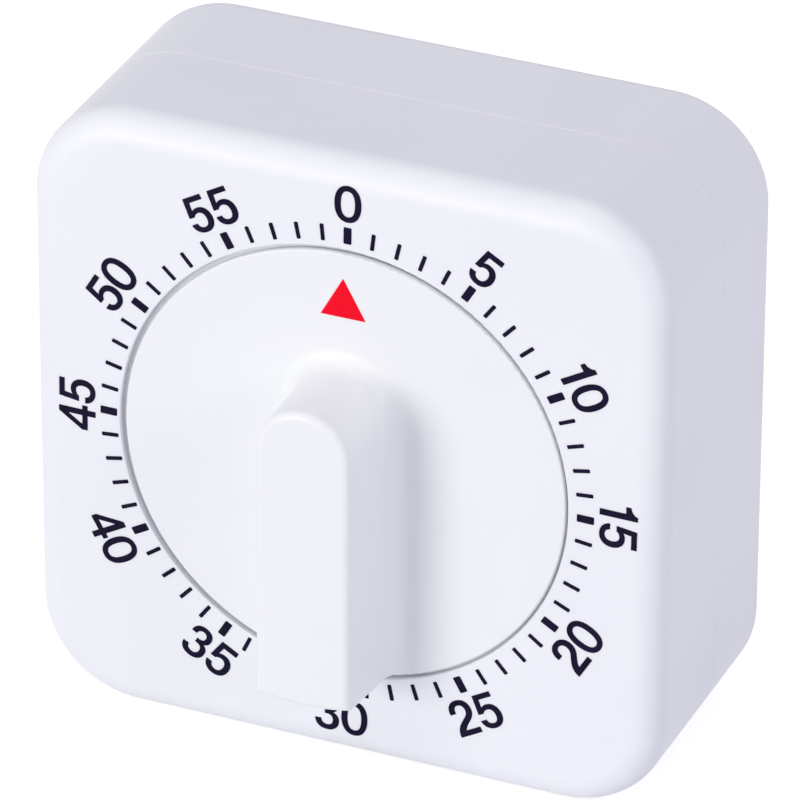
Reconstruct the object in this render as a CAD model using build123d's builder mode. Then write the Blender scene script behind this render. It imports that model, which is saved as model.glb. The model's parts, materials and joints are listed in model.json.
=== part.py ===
"""Square wind-up kitchen timer: two-part case, dial with a moulded grip, sixty-minute movement and bell.

Frame: +Z up, the dial faces -Y, +X to the user's right as the dial is read. The origin is the bottom
centre of the whole timer's box. A "depth" is measured back from the plane of the case's front face, and
a place on a layer is (right, up) from the dial's axis. All sizes are in millimetres and degrees.
"""
import os
from math import acos, atan2, cos, degrees, pi, radians, sin, sqrt, tan

from build123d import *

# ---------------------------------------------------------------- case
case_width = 70.0
case_height = 69.4
case_depth = 29.7
case_wall = 2.0
corner_radius = 11.0
front_edge_radius = 3.0
rear_edge_radius = 2.5
parting_depth = 15.5
seam_chamfer = 0.1

lip_length = 1.6
lip_thickness = 1.0
lip_clearance = 0.12

case_screw_inset = 6.8
case_screw_radius = 1.25
case_screw_length = 10.0
case_screw_head_radius = 2.2
case_screw_head_height = 1.6
case_boss_wall = 1.8
case_screw_seat = 2.8
case_screw_slot_length = 3.5
slot_depth = 0.7

sound_slot_count = 7
sound_slot_width = 1.6
sound_slot_length = 22.0
sound_slot_pitch = 4.2

# ---------------------------------------------------------------- dial, grip and printed scale
dial_radius = 24.35
dial_gap = 0.45
dial_front = 0.1
dial_thickness = 2.0
dial_edge_radius = 0.25
rim_width = 1.45
rim_thickness = 0.5
rim_clearance = 0.3
pan_edge_radius = 0.15
pan_opening_right = -0.14
pan_opening_up = 0.06
pan_depth = 3.6
pan_floor = 1.8
pan_wall = 1.8

grip_height = 10.6
grip_half_width = 5.3
grip_draft = 0.5
grip_top = 6.15
grip_edge_radius = 0.8
grip_foot_radius = 2.0
grip_end_inset = 0.35
grip_end_draft = 6.0
grip_wall = 1.9
hub_radius = 4.0
hub_clearance = 0.5
bore_end_wall = 2.4

stop_inset = 5.35
stop_width = 0.8
stop_length = 2.4
stop_height = 1.1
dial_travel = 354.0
stop_bearing = 90.0

ink_thickness = 0.06
mark_gap = 0.65
mark_length = 1.85
minute_mark_width = 0.42
five_minute_mark_width = 0.84
minutes = 60
minutes_per_numeral = 5
scale_turn = 0.7
scale_right = 0.2
scale_up = 0.17
pointer_inset = 2.85
pointer_height = 4.4
pointer_width = 4.9

# ---------------------------------------------------------------- movement plates and pillars
plate_radius = 31.0
rear_plate_radius = 28.5
plate_thickness = 0.8
plate_boss_height = 1.2
pillar_radius = 1.5
pillar_circle_radius = 26.0
pillar_bearings = (30.0, 98.0, 215.0, 320.0)
pillar_stud_radius = 0.8
pillar_nut_radius = 1.6
pillar_nut_height = 0.7
pillar_nut_sides = 6
movement_screw_circle_radius = 28.4
movement_screw_bearings = (45.0, 135.0, 225.0, 315.0)
movement_screw_radius = 0.9
movement_screw_length = 3.6
movement_screw_head_radius = 1.7
movement_screw_head_height = 0.9
movement_screw_slot = 0.45
movement_boss_radius = 2.4

# ---------------------------------------------------------------- gearing
gear_module = 0.4
pressure_angle = 20.0
tooth_backlash = 0.08
dedendum = 1.25
leaf_shift = 0.5
leaf_addendum = 1.125
wheel_addendum = 0.45
flank_steps = 3
spike_root_share = 0.3
spike_tip_share = 0.06

pinion_leaves = 8
main_teeth = 72
second_teeth = 64
third_teeth = 60
escape_teeth = 15
barrel_teeth = main_teeth
star_teeth = 10
ratchet_teeth = 12

second_bearing = 180.0
third_bearing = 62.0
escape_bearing = 34.0
pallet_bearing = -12.0
alarm_bearing = -60.0

# ---------------------------------------------------------------- movement levels and thicknesses
wheel_thickness = 0.6
main_wheel_thickness = 0.8
train_window_count = 5
train_window_place_share = 0.55
train_window_radius_share = 0.22
cam_thickness = 0.8
cam_gap = 0.6
third_wheel_gap = 0.5
second_wheel_gap = 0.6
main_wheel_gap = 0.6
ratchet_gap = 0.1
ratchet_thickness = 0.7
barrel_gap = 0.5
barrel_flange_thickness = 0.8
barrel_cover_thickness = 0.5
barrel_end_gap = 0.4
leaf_overhang = 0.3

arbor_radius = 0.6
pivot_radius = 0.4
pivot_clearance = 0.05
pivot_overhang = 0.3
end_shake = 0.15
seat_gap = 0.02
collar_radius = 1.3
collar_length = 0.6

# ---------------------------------------------------------------- main arbor, ratchet and mainspring
main_arbor_radius = 2.0
winding_shaft_radius = 1.6
winding_flat = 1.1
winding_reach = 5.8
arbor_washer_radius = 3.0
main_pivot_radius = 1.0
spring_core_radius = 3.0
ratchet_tip_radius = 4.3
ratchet_root_radius = 3.4
ratchet_lean = 0.25
click_circle_radius = 8.2
click_bearing = 105.0
click_nose_bearing = 60.0
click_nose_radius = 0.35
click_boss_radius = 1.0
click_spring_circle_radius = 9.6
click_spring_bearing = 60.0
click_spring_thickness = 0.3
main_window_count = 3
main_window_bearing = 180.0
main_window_arc = 180.0

barrel_radius = 11.8
barrel_wall = 0.6
spring_strip = 0.25
spring_pitch = 0.8
spring_end_gap = 0.3
spring_slack = 0.25

# ---------------------------------------------------------------- escapement
escape_tip_radius = 5.5
escape_root_radius = 4.0
escape_room = 4.1
escape_window_count = 5
escape_window_circle_radius = 2.3
escape_window_radius = 0.8
pallet_distance = 8.6
pallet_span_teeth = 2.5
pallet_pin_radius = 0.25
pallet_gap = 0.12
pallet_plate_gap = 0.3
pallet_arm_radius = 0.6
balance_reach = 5.6
balance_weight_radius = 1.3
balance_weight_height = 1.0
balance_arm_radius = 0.5

# ---------------------------------------------------------------- alarm
cam_radius = 6.0
cam_notch_depth = 1.4
cam_notch_half_width = 1.15
star_tip_radius = 4.5
star_root_radius = 3.0
verge_span_teeth = 2.5
verge_pin_radius = 0.3
verge_gap = 0.15
verge_arm_radius = 0.8

hammer_bearing = -111.0
hammer_circle_radius = 16.9
hammer_reach = 8.5
hammer_arm_radius = 0.8
hammer_arm_thickness = 0.7
hammer_arm_gap = 1.1
hammer_head_radius = 2.2
hammer_head_height = 2.0

lever_nose_bearing = 75.0
lever_arm_circle_radius = 8.0
lever_reach = 13.0
lever_nose_radius = 0.5
lever_nose_gap = 0.15
lever_arm_radius = 0.7
lever_boss_radius = 1.7
lever_stud_radius = 0.8
lever_stud_head_radius = 1.5
lever_stud_head_height = 0.4
lever_tail_pitches = 3.5
release_spring_thickness = 0.25
release_spring_gap = 0.45
release_spring_contact = 7.0
release_post_radius = 0.8
release_post_reach = 6.5

bell_radius = 21.0
bell_sheet = 0.8
bell_gap = 0.8
bell_rim_height = 3.0
bell_dome_height = 2.6
bell_post_radius = 3.2
bell_post_relief = 1.4
bell_post_relief_height = 0.6
bell_screw_radius = 1.2
bell_screw_length = 4.0
bell_screw_head_radius = 2.2
bell_screw_head_height = 0.8
bell_clearance = 0.4

# ---------------------------------------------------------------- places worked out from the sizes above
grip_front = dial_front - grip_height
face_y = -(case_depth - grip_front) / 2 - grip_front
axis_z = case_height / 2
pan_radius = dial_radius + dial_gap
dial_back = dial_front + dial_thickness
rim_back = dial_front + rim_thickness
ledge_depth = rim_back + rim_clearance
mark_inner_radius = pan_radius + mark_gap
pointer_top = dial_radius - pointer_inset
stop_circle_radius = dial_radius - stop_inset

front_plate_front = pan_depth + pan_floor + plate_boss_height
front_plate_back = front_plate_front + plate_thickness

bell_top = case_depth - case_wall - bell_clearance - bell_screw_head_height
bell_rim_front = bell_top - bell_dome_height - bell_rim_height
rear_plate_back = bell_rim_front - bell_gap
rear_plate_front = rear_plate_back - plate_thickness

cam_front = front_plate_back + cam_gap
cam_back = cam_front + cam_thickness
third_wheel_front = cam_back + third_wheel_gap
third_wheel_back = third_wheel_front + wheel_thickness
second_wheel_front = third_wheel_back + second_wheel_gap
second_wheel_back = second_wheel_front + wheel_thickness
main_wheel_front = second_wheel_back + main_wheel_gap
main_wheel_back = main_wheel_front + main_wheel_thickness
ratchet_front = main_wheel_back + ratchet_gap
ratchet_back = ratchet_front + ratchet_thickness
barrel_front = ratchet_back + barrel_gap
barrel_flange_back = barrel_front + barrel_flange_thickness
barrel_back = rear_plate_front - barrel_end_gap
barrel_cover_front = barrel_back - barrel_cover_thickness
escape_wheel_front = rear_plate_front - escape_room
escape_wheel_back = escape_wheel_front + wheel_thickness
pallet_plate_front = escape_wheel_back + pallet_plate_gap
pallet_plate_back = pallet_plate_front + wheel_thickness

case_screw_x = case_width / 2 - case_screw_inset
case_screw_z = case_height / 2 - case_screw_inset
case_boss_radius = case_screw_radius + case_boss_wall
case_screw_head_front = parting_depth + case_screw_seat


def polar(radius, bearing, centre=(0.0, 0.0)):
    """Place at a radius and a bearing, in degrees anticlockwise from the right, about a centre."""
    return (centre[0] + radius * cos(radians(bearing)), centre[1] + radius * sin(radians(bearing)))


def bearing_of(start, end):
    """Bearing in degrees from one place to another."""
    return degrees(atan2(end[1] - start[1], end[0] - start[0]))


def mesh_distance(teeth, leaves=pinion_leaves):
    """Distance between the arbors of a wheel and the pinion that it drives."""
    return gear_module * (teeth + leaves) / 2


def layer(depth, centre=(0.0, 0.0)):
    """Plane at a depth, facing the user, with x to the right and y up from a centre."""
    return Plane(origin=(centre[0], face_y + depth, axis_z + centre[1]), x_dir=(1, 0, 0), z_dir=(0, -1, 0))


def disc(radius, front, back, centre=(0.0, 0.0), mode=Mode.ADD):
    """Round slab or hole between two depths, made in the part that is being built."""
    with BuildSketch(layer(back, centre)) as outline:
        Circle(radius)
    extrude(outline.sketch, amount=back - front, mode=mode)


def link(ends, radii, front, back):
    """Flat bar with round ends between two places, made in the part that is being built."""
    with BuildSketch(layer(back)) as outline:
        for end, radius in zip(ends, radii):
            with Locations(end):
                Circle(radius)
        make_hull()
    extrude(outline.sketch, amount=back - front)


def involute(angle):
    """Involute function of an angle in radians."""
    return tan(angle) - angle


def gear_outline(teeth, shift, addendum, first_bearing):
    """Corners of an involute gear whose first tooth is centred on a bearing."""
    pressure = radians(pressure_angle)
    pitch_radius = gear_module * teeth / 2
    base_radius = pitch_radius * cos(pressure)
    root_radius = pitch_radius - gear_module * (dedendum - shift)
    tip_radius = pitch_radius + gear_module * addendum
    tooth_angle = (pi / 2 + 2 * shift * tan(pressure)) / teeth - tooth_backlash / 4 / pitch_radius
    radii = [root_radius + (tip_radius - root_radius) * step / flank_steps for step in range(flank_steps + 1)]

    def half_tooth(radius):
        flank = acos(base_radius / max(radius, base_radius))
        return degrees(tooth_angle + involute(pressure) - involute(flank))

    corners = []
    for tooth in range(teeth):
        middle = first_bearing + 360 * tooth / teeth
        corners += [polar(radius, middle - half_tooth(radius)) for radius in radii]
        corners += [polar(radius, middle + half_tooth(radius)) for radius in reversed(radii)]
    return corners


def spike_outline(teeth, root_radius, tip_radius, lean, first_bearing):
    """Corners of a wheel of pointed teeth. Lean moves each tip round, as a share of the tooth pitch."""
    pitch = 360 / teeth
    corners = []
    for tooth in range(teeth):
        tip = first_bearing + pitch * tooth
        foot = tip - lean * pitch
        corners.append(polar(root_radius, foot - spike_root_share * pitch))
        corners.append(polar(tip_radius, tip - spike_tip_share * pitch))
        corners.append(polar(tip_radius, tip + spike_tip_share * pitch))
        corners.append(polar(root_radius, foot + spike_root_share * pitch))
    return corners


def toothed_disc(corners, front, back, centre=(0.0, 0.0)):
    """Slab with the outline of a gear or ratchet, made in the part that is being built."""
    with BuildSketch(layer(back, centre)) as outline:
        with BuildLine():
            Polyline(*corners, close=True)
        make_face()
    extrude(outline.sketch, amount=back - front)


def windows(count, orbit, radius, front, back, centre=(0.0, 0.0)):
    """Ring of round lightening holes through a wheel."""
    with BuildSketch(layer(back, centre)) as holes:
        with PolarLocations(orbit, count):
            Circle(radius)
    extrude(holes.sketch, amount=back - front, mode=Mode.SUBTRACT)


def d_section(depth, clearance=0.0):
    """Section of the main arbor's D-shaped front end, grown by a clearance."""
    with BuildSketch(layer(depth)) as section:
        Circle(winding_shaft_radius + clearance)
        with Locations((0, winding_flat + clearance + winding_shaft_radius)):
            Rectangle(4 * winding_shaft_radius, 2 * winding_shaft_radius, mode=Mode.SUBTRACT)
    return section.sketch


def save(builder, label):
    """Label a finished piece and write its STEP file."""
    builder.part.label = label
    export_step(builder.part, f"parts/{label}.step")


os.makedirs("parts", exist_ok=True)

# Arbor places. Each wheel stands at its mesh distance from the one before it.
main_axis = (0.0, 0.0)
second_axis = polar(mesh_distance(main_teeth), second_bearing)
third_axis = polar(mesh_distance(second_teeth), third_bearing, second_axis)
escape_axis = polar(mesh_distance(third_teeth), escape_bearing, third_axis)
pallet_axis = polar(pallet_distance, pallet_bearing, escape_axis)
alarm_axis = polar(mesh_distance(barrel_teeth), alarm_bearing)
hammer_head_place = polar(hammer_circle_radius, hammer_bearing)
hammer_axis = polar(hammer_reach, hammer_bearing + 90, hammer_head_place)
lever_elbow = polar(lever_arm_circle_radius, lever_nose_bearing)
lever_axis = polar(lever_reach, lever_nose_bearing - 90, lever_elbow)

train_axes = (second_axis, third_axis, escape_axis, pallet_axis, alarm_axis, hammer_axis)
pillar_places = [polar(pillar_circle_radius, bearing) for bearing in pillar_bearings]
movement_screw_places = [polar(movement_screw_circle_radius, bearing) for bearing in movement_screw_bearings]


# ---------------------------------------------------------------- front case
def case_slab(inset, front, back, mode=Mode.ADD):
    """Rounded square slab of the case between two depths, drawn in from the outside by an inset."""
    with BuildSketch(layer(back)) as outline:
        RectangleRounded(case_width - 2 * inset, case_height - 2 * inset, corner_radius - inset)
    extrude(outline.sketch, amount=back - front, mode=mode)


def case_screw_discs(radius, front, back, mode=Mode.ADD):
    """Four round slabs or holes at the case screws."""
    with BuildSketch(layer(back)) as outline:
        with GridLocations(2 * case_screw_x, 2 * case_screw_z, 2, 2):
            Circle(radius)
    extrude(outline.sketch, amount=back - front, mode=mode)


def movement_screw_discs(radius, front, back, mode=Mode.ADD):
    """Four round slabs or holes at the movement screws."""
    with BuildSketch(layer(back)) as outline:
        with Locations(*movement_screw_places):
            Circle(radius)
    extrude(outline.sketch, amount=back - front, mode=mode)


with BuildPart() as front_case:
    case_slab(0.0, 0.0, parting_depth)
    fillet(front_case.faces().sort_by(Axis.Y)[0].edges(), front_edge_radius)
    chamfer(front_case.faces().sort_by(Axis.Y)[-1].edges(), seam_chamfer)
    case_slab(case_wall, case_wall, parting_depth, Mode.SUBTRACT)
    disc(pan_radius + pan_wall, case_wall, pan_depth + pan_floor)
    # The dial's thin rim turns above a shallow ledge. The opening is set a little to the upper left of it.
    disc(pan_radius - rim_width, 0.0, pan_depth, mode=Mode.SUBTRACT)
    disc(pan_radius, 0.0, ledge_depth, (pan_opening_right, pan_opening_up), Mode.SUBTRACT)
    disc(hub_radius + hub_clearance, pan_depth, pan_depth + pan_floor, mode=Mode.SUBTRACT)
    pan_rim = front_case.edges().filter_by(GeomType.CIRCLE).filter_by(
        lambda edge: abs(edge.radius - pan_radius) < seat_gap and edge.center().Y < face_y + seat_gap)
    fillet(pan_rim, pan_edge_radius)
    # The stop rib on the pan's floor limits the dial at both ends of its travel.
    with BuildSketch(layer(pan_depth, polar(stop_circle_radius, stop_bearing))):
        Rectangle(stop_width, stop_length)
    extrude(amount=stop_height)
    case_screw_discs(case_boss_radius, case_wall, parting_depth)
    case_screw_discs(case_screw_radius + seat_gap, case_screw_head_front - case_screw_length - seat_gap,
                     parting_depth, Mode.SUBTRACT)
    movement_screw_discs(movement_boss_radius, case_wall, front_plate_front)
    movement_screw_discs(movement_screw_radius + seat_gap,
                         front_plate_back - movement_screw_length - seat_gap,
                         front_plate_front, Mode.SUBTRACT)
save(front_case, "front_case")

# ---------------------------------------------------------------- rear cover
with BuildPart() as rear_cover:
    case_slab(0.0, parting_depth, case_depth)
    fillet(rear_cover.faces().sort_by(Axis.Y)[-1].edges(), rear_edge_radius)
    chamfer(rear_cover.faces().sort_by(Axis.Y)[0].edges(), seam_chamfer)
    case_slab(case_wall, parting_depth, case_depth - case_wall, Mode.SUBTRACT)
    # A lip inside the front case lines the two halves up, and is cut away round the screw bosses.
    lip_front = parting_depth - lip_length
    lip_root = parting_depth + lip_length
    lip_inset = case_wall + lip_clearance
    case_slab(case_wall, parting_depth + seam_chamfer, lip_root)
    case_slab(lip_inset, lip_front, parting_depth + seam_chamfer)
    case_slab(lip_inset + lip_thickness, lip_front, lip_root, Mode.SUBTRACT)
    case_screw_discs(case_boss_radius + lip_clearance, lip_front, parting_depth, Mode.SUBTRACT)
    case_screw_discs(case_screw_head_radius + case_boss_wall, parting_depth, case_depth - case_wall)
    case_screw_discs(case_screw_head_radius + pivot_clearance, case_screw_head_front,
                     case_depth, Mode.SUBTRACT)
    case_screw_discs(case_screw_radius + lip_clearance, parting_depth, case_screw_head_front, Mode.SUBTRACT)
    with BuildSketch(layer(case_depth)):
        with GridLocations(sound_slot_pitch, 0, sound_slot_count, 1):
            SlotOverall(sound_slot_length, sound_slot_width, rotation=90)
    extrude(amount=case_wall, mode=Mode.SUBTRACT)
save(rear_cover, "rear_cover")

# ---------------------------------------------------------------- case screws
with BuildPart() as case_screws:
    head_back = case_screw_head_front + case_screw_head_height
    case_screw_discs(case_screw_radius, case_screw_head_front - case_screw_length, case_screw_head_front)
    case_screw_discs(case_screw_head_radius, case_screw_head_front, head_back)
    with BuildSketch(layer(head_back)):
        with GridLocations(2 * case_screw_x, 2 * case_screw_z, 2, 2):
            Rectangle(case_screw_slot_length, slot_depth)
            Rectangle(slot_depth, case_screw_slot_length)
    extrude(amount=slot_depth, mode=Mode.SUBTRACT)
save(case_screws, "case_screws")

# ---------------------------------------------------------------- dial with its grip
grip_reach = case_height
hub_back = front_plate_front - hub_clearance


def grip_block(inset, back, front, reach):
    """Tongue with a round top and drafted sides that runs out at the bottom, narrower by an inset."""
    half_width = grip_half_width - inset
    with BuildSketch(layer(back)) as outline:
        with Locations((0, grip_top)):
            Circle(half_width)
        with Locations((0, grip_top - reach / 2)):
            Rectangle(2 * half_width, reach)
    extrude(outline.sketch, amount=back - front, taper=grip_draft)


def end_cone(inset, back, front, mode):
    """Cone that trims the grip's lower end a little inside the dial's rim, drawn in by an inset."""
    with BuildSketch(layer(back)) as outline:
        Circle(dial_radius - grip_end_inset - inset)
    extrude(outline.sketch, amount=back - front, taper=grip_end_draft, mode=mode)


with BuildPart() as dial_envelope:
    disc(dial_radius, dial_front, rim_back)
    fillet(dial_envelope.edges().filter_by(GeomType.CIRCLE).sort_by(Axis.Y)[0], dial_edge_radius)
    disc(dial_radius - rim_width, dial_front, dial_back)
    end_cone(0.0, dial_front + dial_edge_radius, grip_front, Mode.ADD)

with BuildPart() as grip_core:
    grip_block(grip_wall, dial_front, grip_front + grip_wall, grip_reach)
    end_cone(grip_wall, dial_front, grip_front, Mode.INTERSECT)

with BuildPart() as grip_core_mouth:
    grip_block(grip_wall, dial_back, dial_front - seat_gap, grip_reach)
    disc(dial_radius - grip_end_inset - grip_wall, dial_front - seat_gap, dial_back, mode=Mode.INTERSECT)

with BuildPart() as dial_knob:
    # The plate and the grip are drawn past the rim, rounded where they meet, and trimmed to the envelope.
    disc(case_width, dial_front, dial_back)
    grip_block(0.0, dial_front, grip_front, grip_reach)
    foot = dial_knob.edges().filter_by(
        lambda edge: abs(edge.center().Y - face_y - dial_front) < seat_gap
        and abs(edge.center().X) < 2 * grip_half_width
        and edge.center().Z > axis_z - grip_reach / 2)
    fillet(foot, grip_foot_radius)
    add(dial_envelope.part, mode=Mode.INTERSECT)
    fillet(dial_knob.faces().sort_by(Axis.Y)[0].edges(), grip_edge_radius)
    add(grip_core.part, mode=Mode.SUBTRACT)
    add(grip_core_mouth.part, mode=Mode.SUBTRACT)
    disc(hub_radius, grip_front + grip_wall, hub_back)
    extrude(d_section(hub_back, seat_gap), amount=hub_back - grip_front - bore_end_wall, mode=Mode.SUBTRACT)
    # The tab under the dial meets the pan's stop rib. Half the untravelled angle sets it to one side.
    tab_bearing = stop_bearing - (360 - dial_travel) / 2
    with BuildSketch(layer(dial_back + stop_height, polar(stop_circle_radius, tab_bearing))):
        Rectangle(stop_width, stop_length, rotation=tab_bearing - 90)
    extrude(amount=stop_height)
save(dial_knob, "dial_knob")

with BuildPart() as pointer_mark:
    with BuildSketch(layer(dial_front)):
        with BuildLine():
            Polyline((0, pointer_top), (-pointer_width / 2, pointer_top - pointer_height),
                     (pointer_width / 2, pointer_top - pointer_height), close=True)
        make_face()
    extrude(amount=ink_thickness)
save(pointer_mark, "pointer_mark")


# ---------------------------------------------------------------- printed scale
def scale_marks(width, marked):
    """Thin bars of ink round the dial, one at each minute that is marked."""
    middle = mark_inner_radius + mark_length / 2
    for minute in filter(marked, range(minutes)):
        bearing = 90 - 360 * minute / minutes - scale_turn
        with BuildSketch(layer(0.0, polar(middle, bearing, (scale_right, scale_up)))) as bar:
            Rectangle(width, mark_length, rotation=bearing - 90)
        extrude(bar.sketch, amount=ink_thickness)


with BuildPart() as minute_marks:
    scale_marks(minute_mark_width, lambda minute: minute % minutes_per_numeral)
save(minute_marks, "minute_marks")

with BuildPart() as five_minute_marks:
    scale_marks(five_minute_mark_width, lambda minute: minute % minutes_per_numeral == 0)
save(five_minute_marks, "five_minute_marks")


# ---------------------------------------------------------------- movement plates, pillars and fasteners
def pivot_holes(front, back):
    """Bearing holes for the train's arbors through a plate."""
    for axis in train_axes:
        disc(pivot_radius + pivot_clearance, front, back, axis, Mode.SUBTRACT)


with BuildPart() as front_plate:
    disc(plate_radius, front_plate_front, front_plate_back)
    disc(winding_shaft_radius + pivot_clearance, front_plate_front, front_plate_back, mode=Mode.SUBTRACT)
    pivot_holes(front_plate_front, front_plate_back)
    disc(lever_stud_radius + seat_gap, front_plate_front, front_plate_back, lever_axis, Mode.SUBTRACT)
    movement_screw_discs(movement_screw_radius + seat_gap, front_plate_front, front_plate_back, Mode.SUBTRACT)
    for place in pillar_places:
        disc(pillar_stud_radius + seat_gap, front_plate_front, front_plate_back, place, Mode.SUBTRACT)
save(front_plate, "front_plate")

with BuildPart() as rear_plate:
    disc(rear_plate_radius, rear_plate_front, rear_plate_back)
    disc(main_pivot_radius + pivot_clearance, rear_plate_front, rear_plate_back, mode=Mode.SUBTRACT)
    pivot_holes(rear_plate_front, rear_plate_back)
    for place in pillar_places:
        disc(pillar_stud_radius + seat_gap, rear_plate_front, rear_plate_back, place, Mode.SUBTRACT)
save(rear_plate, "rear_plate")

nut_front = rear_plate_back
nut_back = nut_front + pillar_nut_height

with BuildPart() as plate_pillars:
    for place in pillar_places:
        disc(pillar_radius, front_plate_back, rear_plate_front, place)
        disc(pillar_stud_radius, front_plate_front, front_plate_back, place)
        disc(pillar_stud_radius, rear_plate_front, nut_back, place)
save(plate_pillars, "plate_pillars")

with BuildPart() as pillar_nuts:
    for place in pillar_places:
        with BuildSketch(layer(nut_back, place)):
            RegularPolygon(pillar_nut_radius, pillar_nut_sides)
            Circle(pillar_stud_radius + seat_gap, mode=Mode.SUBTRACT)
        extrude(amount=pillar_nut_height)
save(pillar_nuts, "pillar_nuts")

with BuildPart() as movement_screws:
    head_back = front_plate_back + movement_screw_head_height
    movement_screw_discs(movement_screw_radius, front_plate_back - movement_screw_length, front_plate_back)
    movement_screw_discs(movement_screw_head_radius, front_plate_back, head_back)
    with BuildSketch(layer(head_back)):
        with Locations(*movement_screw_places):
            Rectangle(2 * movement_screw_head_radius, movement_screw_slot)
    extrude(amount=movement_screw_slot, mode=Mode.SUBTRACT)
save(movement_screws, "movement_screws")

# ---------------------------------------------------------------- main arbor and what turns with the dial
with BuildPart() as main_arbor:
    disc(winding_shaft_radius, hub_back, cam_back)
    extrude(d_section(hub_back), amount=hub_back + winding_reach)
    disc(main_arbor_radius, cam_back, rear_plate_front - end_shake)
    disc(spring_core_radius, barrel_flange_back + end_shake, barrel_cover_front - end_shake)
    disc(main_pivot_radius, rear_plate_front - end_shake, rear_plate_back + pivot_overhang)
save(main_arbor, "main_arbor")

notch_bearing = lever_nose_bearing - (360 - dial_travel) / 2

with BuildPart() as alarm_cam:
    disc(cam_radius, cam_front, cam_back)
    disc(winding_shaft_radius + seat_gap, cam_front, cam_back, mode=Mode.SUBTRACT)
    with BuildSketch(layer(cam_back, polar(cam_radius, notch_bearing))):
        Rectangle(2 * cam_notch_depth, 2 * cam_notch_half_width, rotation=notch_bearing)
    extrude(amount=cam_thickness, mode=Mode.SUBTRACT)
save(alarm_cam, "alarm_cam")

with BuildPart() as arbor_washer:
    disc(arbor_washer_radius, front_plate_back + end_shake, cam_front - end_shake)
    disc(winding_shaft_radius + seat_gap, front_plate_back, cam_front, mode=Mode.SUBTRACT)
save(arbor_washer, "arbor_washer")

with BuildPart() as main_wheel:
    toothed_disc(gear_outline(main_teeth, -leaf_shift, wheel_addendum, second_bearing),
                 main_wheel_front, main_wheel_back)
    disc(main_arbor_radius + seat_gap, main_wheel_front, main_wheel_back, mode=Mode.SUBTRACT)
    disc(pivot_radius + seat_gap, main_wheel_front, main_wheel_back,
         polar(click_circle_radius, click_bearing), Mode.SUBTRACT)
    disc(pivot_radius + seat_gap, main_wheel_front, main_wheel_back,
         polar(click_spring_circle_radius, click_spring_bearing), Mode.SUBTRACT)
    with BuildSketch(layer(main_wheel_back)):
        with PolarLocations(click_circle_radius, main_window_count, main_window_bearing, main_window_arc):
            Circle(main_arbor_radius)
    extrude(amount=main_wheel_thickness, mode=Mode.SUBTRACT)
save(main_wheel, "main_wheel")

with BuildPart() as ratchet_wheel:
    toothed_disc(spike_outline(ratchet_teeth, ratchet_root_radius, ratchet_tip_radius, ratchet_lean,
                               click_nose_bearing + 180 / ratchet_teeth), ratchet_front, ratchet_back)
    disc(main_arbor_radius + seat_gap, ratchet_front, ratchet_back, mode=Mode.SUBTRACT)
save(ratchet_wheel, "ratchet_wheel")

click_pivot = polar(click_circle_radius, click_bearing)
click_nose = polar(ratchet_tip_radius + click_nose_radius / 2, click_nose_bearing)

with BuildPart() as ratchet_click:
    link((click_pivot, click_nose), (click_boss_radius, click_nose_radius), ratchet_front, ratchet_back)
    disc(pivot_radius, main_wheel_front, ratchet_front, click_pivot)
save(ratchet_click, "ratchet_click")

click_middle = ((click_pivot[0] + click_nose[0]) / 2, (click_pivot[1] + click_nose[1]) / 2)
click_side = bearing_of(click_nose, click_pivot) - 90
click_half_width = (click_boss_radius + click_nose_radius) / 2
spring_touch = polar(click_half_width + click_spring_thickness, click_side, click_middle)
click_spring_pin = polar(click_spring_circle_radius, click_spring_bearing)

with BuildPart() as click_spring:
    link((click_spring_pin, spring_touch), (click_spring_thickness / 2, click_spring_thickness / 2),
         ratchet_front, ratchet_back)
    disc(pivot_radius, main_wheel_front, ratchet_back, click_spring_pin)
save(click_spring, "click_spring")

# ---------------------------------------------------------------- spring barrel, its cover and the mainspring
with BuildPart() as spring_barrel:
    toothed_disc(gear_outline(barrel_teeth, -leaf_shift, wheel_addendum, alarm_bearing),
                 barrel_front, barrel_flange_back)
    disc(barrel_radius, barrel_flange_back, barrel_cover_front)
    disc(barrel_radius - barrel_wall, barrel_flange_back, barrel_cover_front, mode=Mode.SUBTRACT)
    disc(main_arbor_radius + pivot_clearance, barrel_front, barrel_flange_back, mode=Mode.SUBTRACT)
save(spring_barrel, "spring_barrel")

with BuildPart() as barrel_cover:
    disc(barrel_radius, barrel_cover_front, barrel_back)
    disc(main_arbor_radius + pivot_clearance, barrel_cover_front, barrel_back, mode=Mode.SUBTRACT)
save(barrel_cover, "barrel_cover")

# The strip is wound from half circles, each a quarter pitch to one side of the axis and half a pitch larger.
spring_inner = spring_core_radius + spring_slack + spring_strip / 2 + spring_pitch / 4
spring_outer = barrel_radius - barrel_wall - spring_slack - spring_strip / 2 - spring_pitch / 4
half_turns = int((spring_outer - spring_inner) / (spring_pitch / 2)) + 1

with BuildPart() as mainspring:
    with BuildSketch(layer(barrel_cover_front - spring_end_gap)):
        with BuildLine():
            for half_turn in range(half_turns):
                side = 1 if half_turn % 2 else -1
                radius = spring_inner + half_turn * spring_pitch / 2
                centre = (side * spring_pitch / 4, 0)
                start = 180 * (half_turn % 2)
                CenterArc(centre, radius - spring_strip / 2, start, 180)
                CenterArc(centre, radius + spring_strip / 2, start, 180)
            first = spring_inner - spring_pitch / 4
            Line((first - spring_strip / 2, 0), (first + spring_strip / 2, 0))
            last_side = 1 if half_turns % 2 == 0 else -1
            last = spring_inner + (half_turns - 1) * spring_pitch / 2 + spring_pitch / 4
            Line((last_side * (last - spring_strip / 2), 0), (last_side * (last + spring_strip / 2), 0))
        make_face()
    extrude(amount=barrel_cover_front - barrel_flange_back - 2 * spring_end_gap)
save(mainspring, "mainspring")


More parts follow.
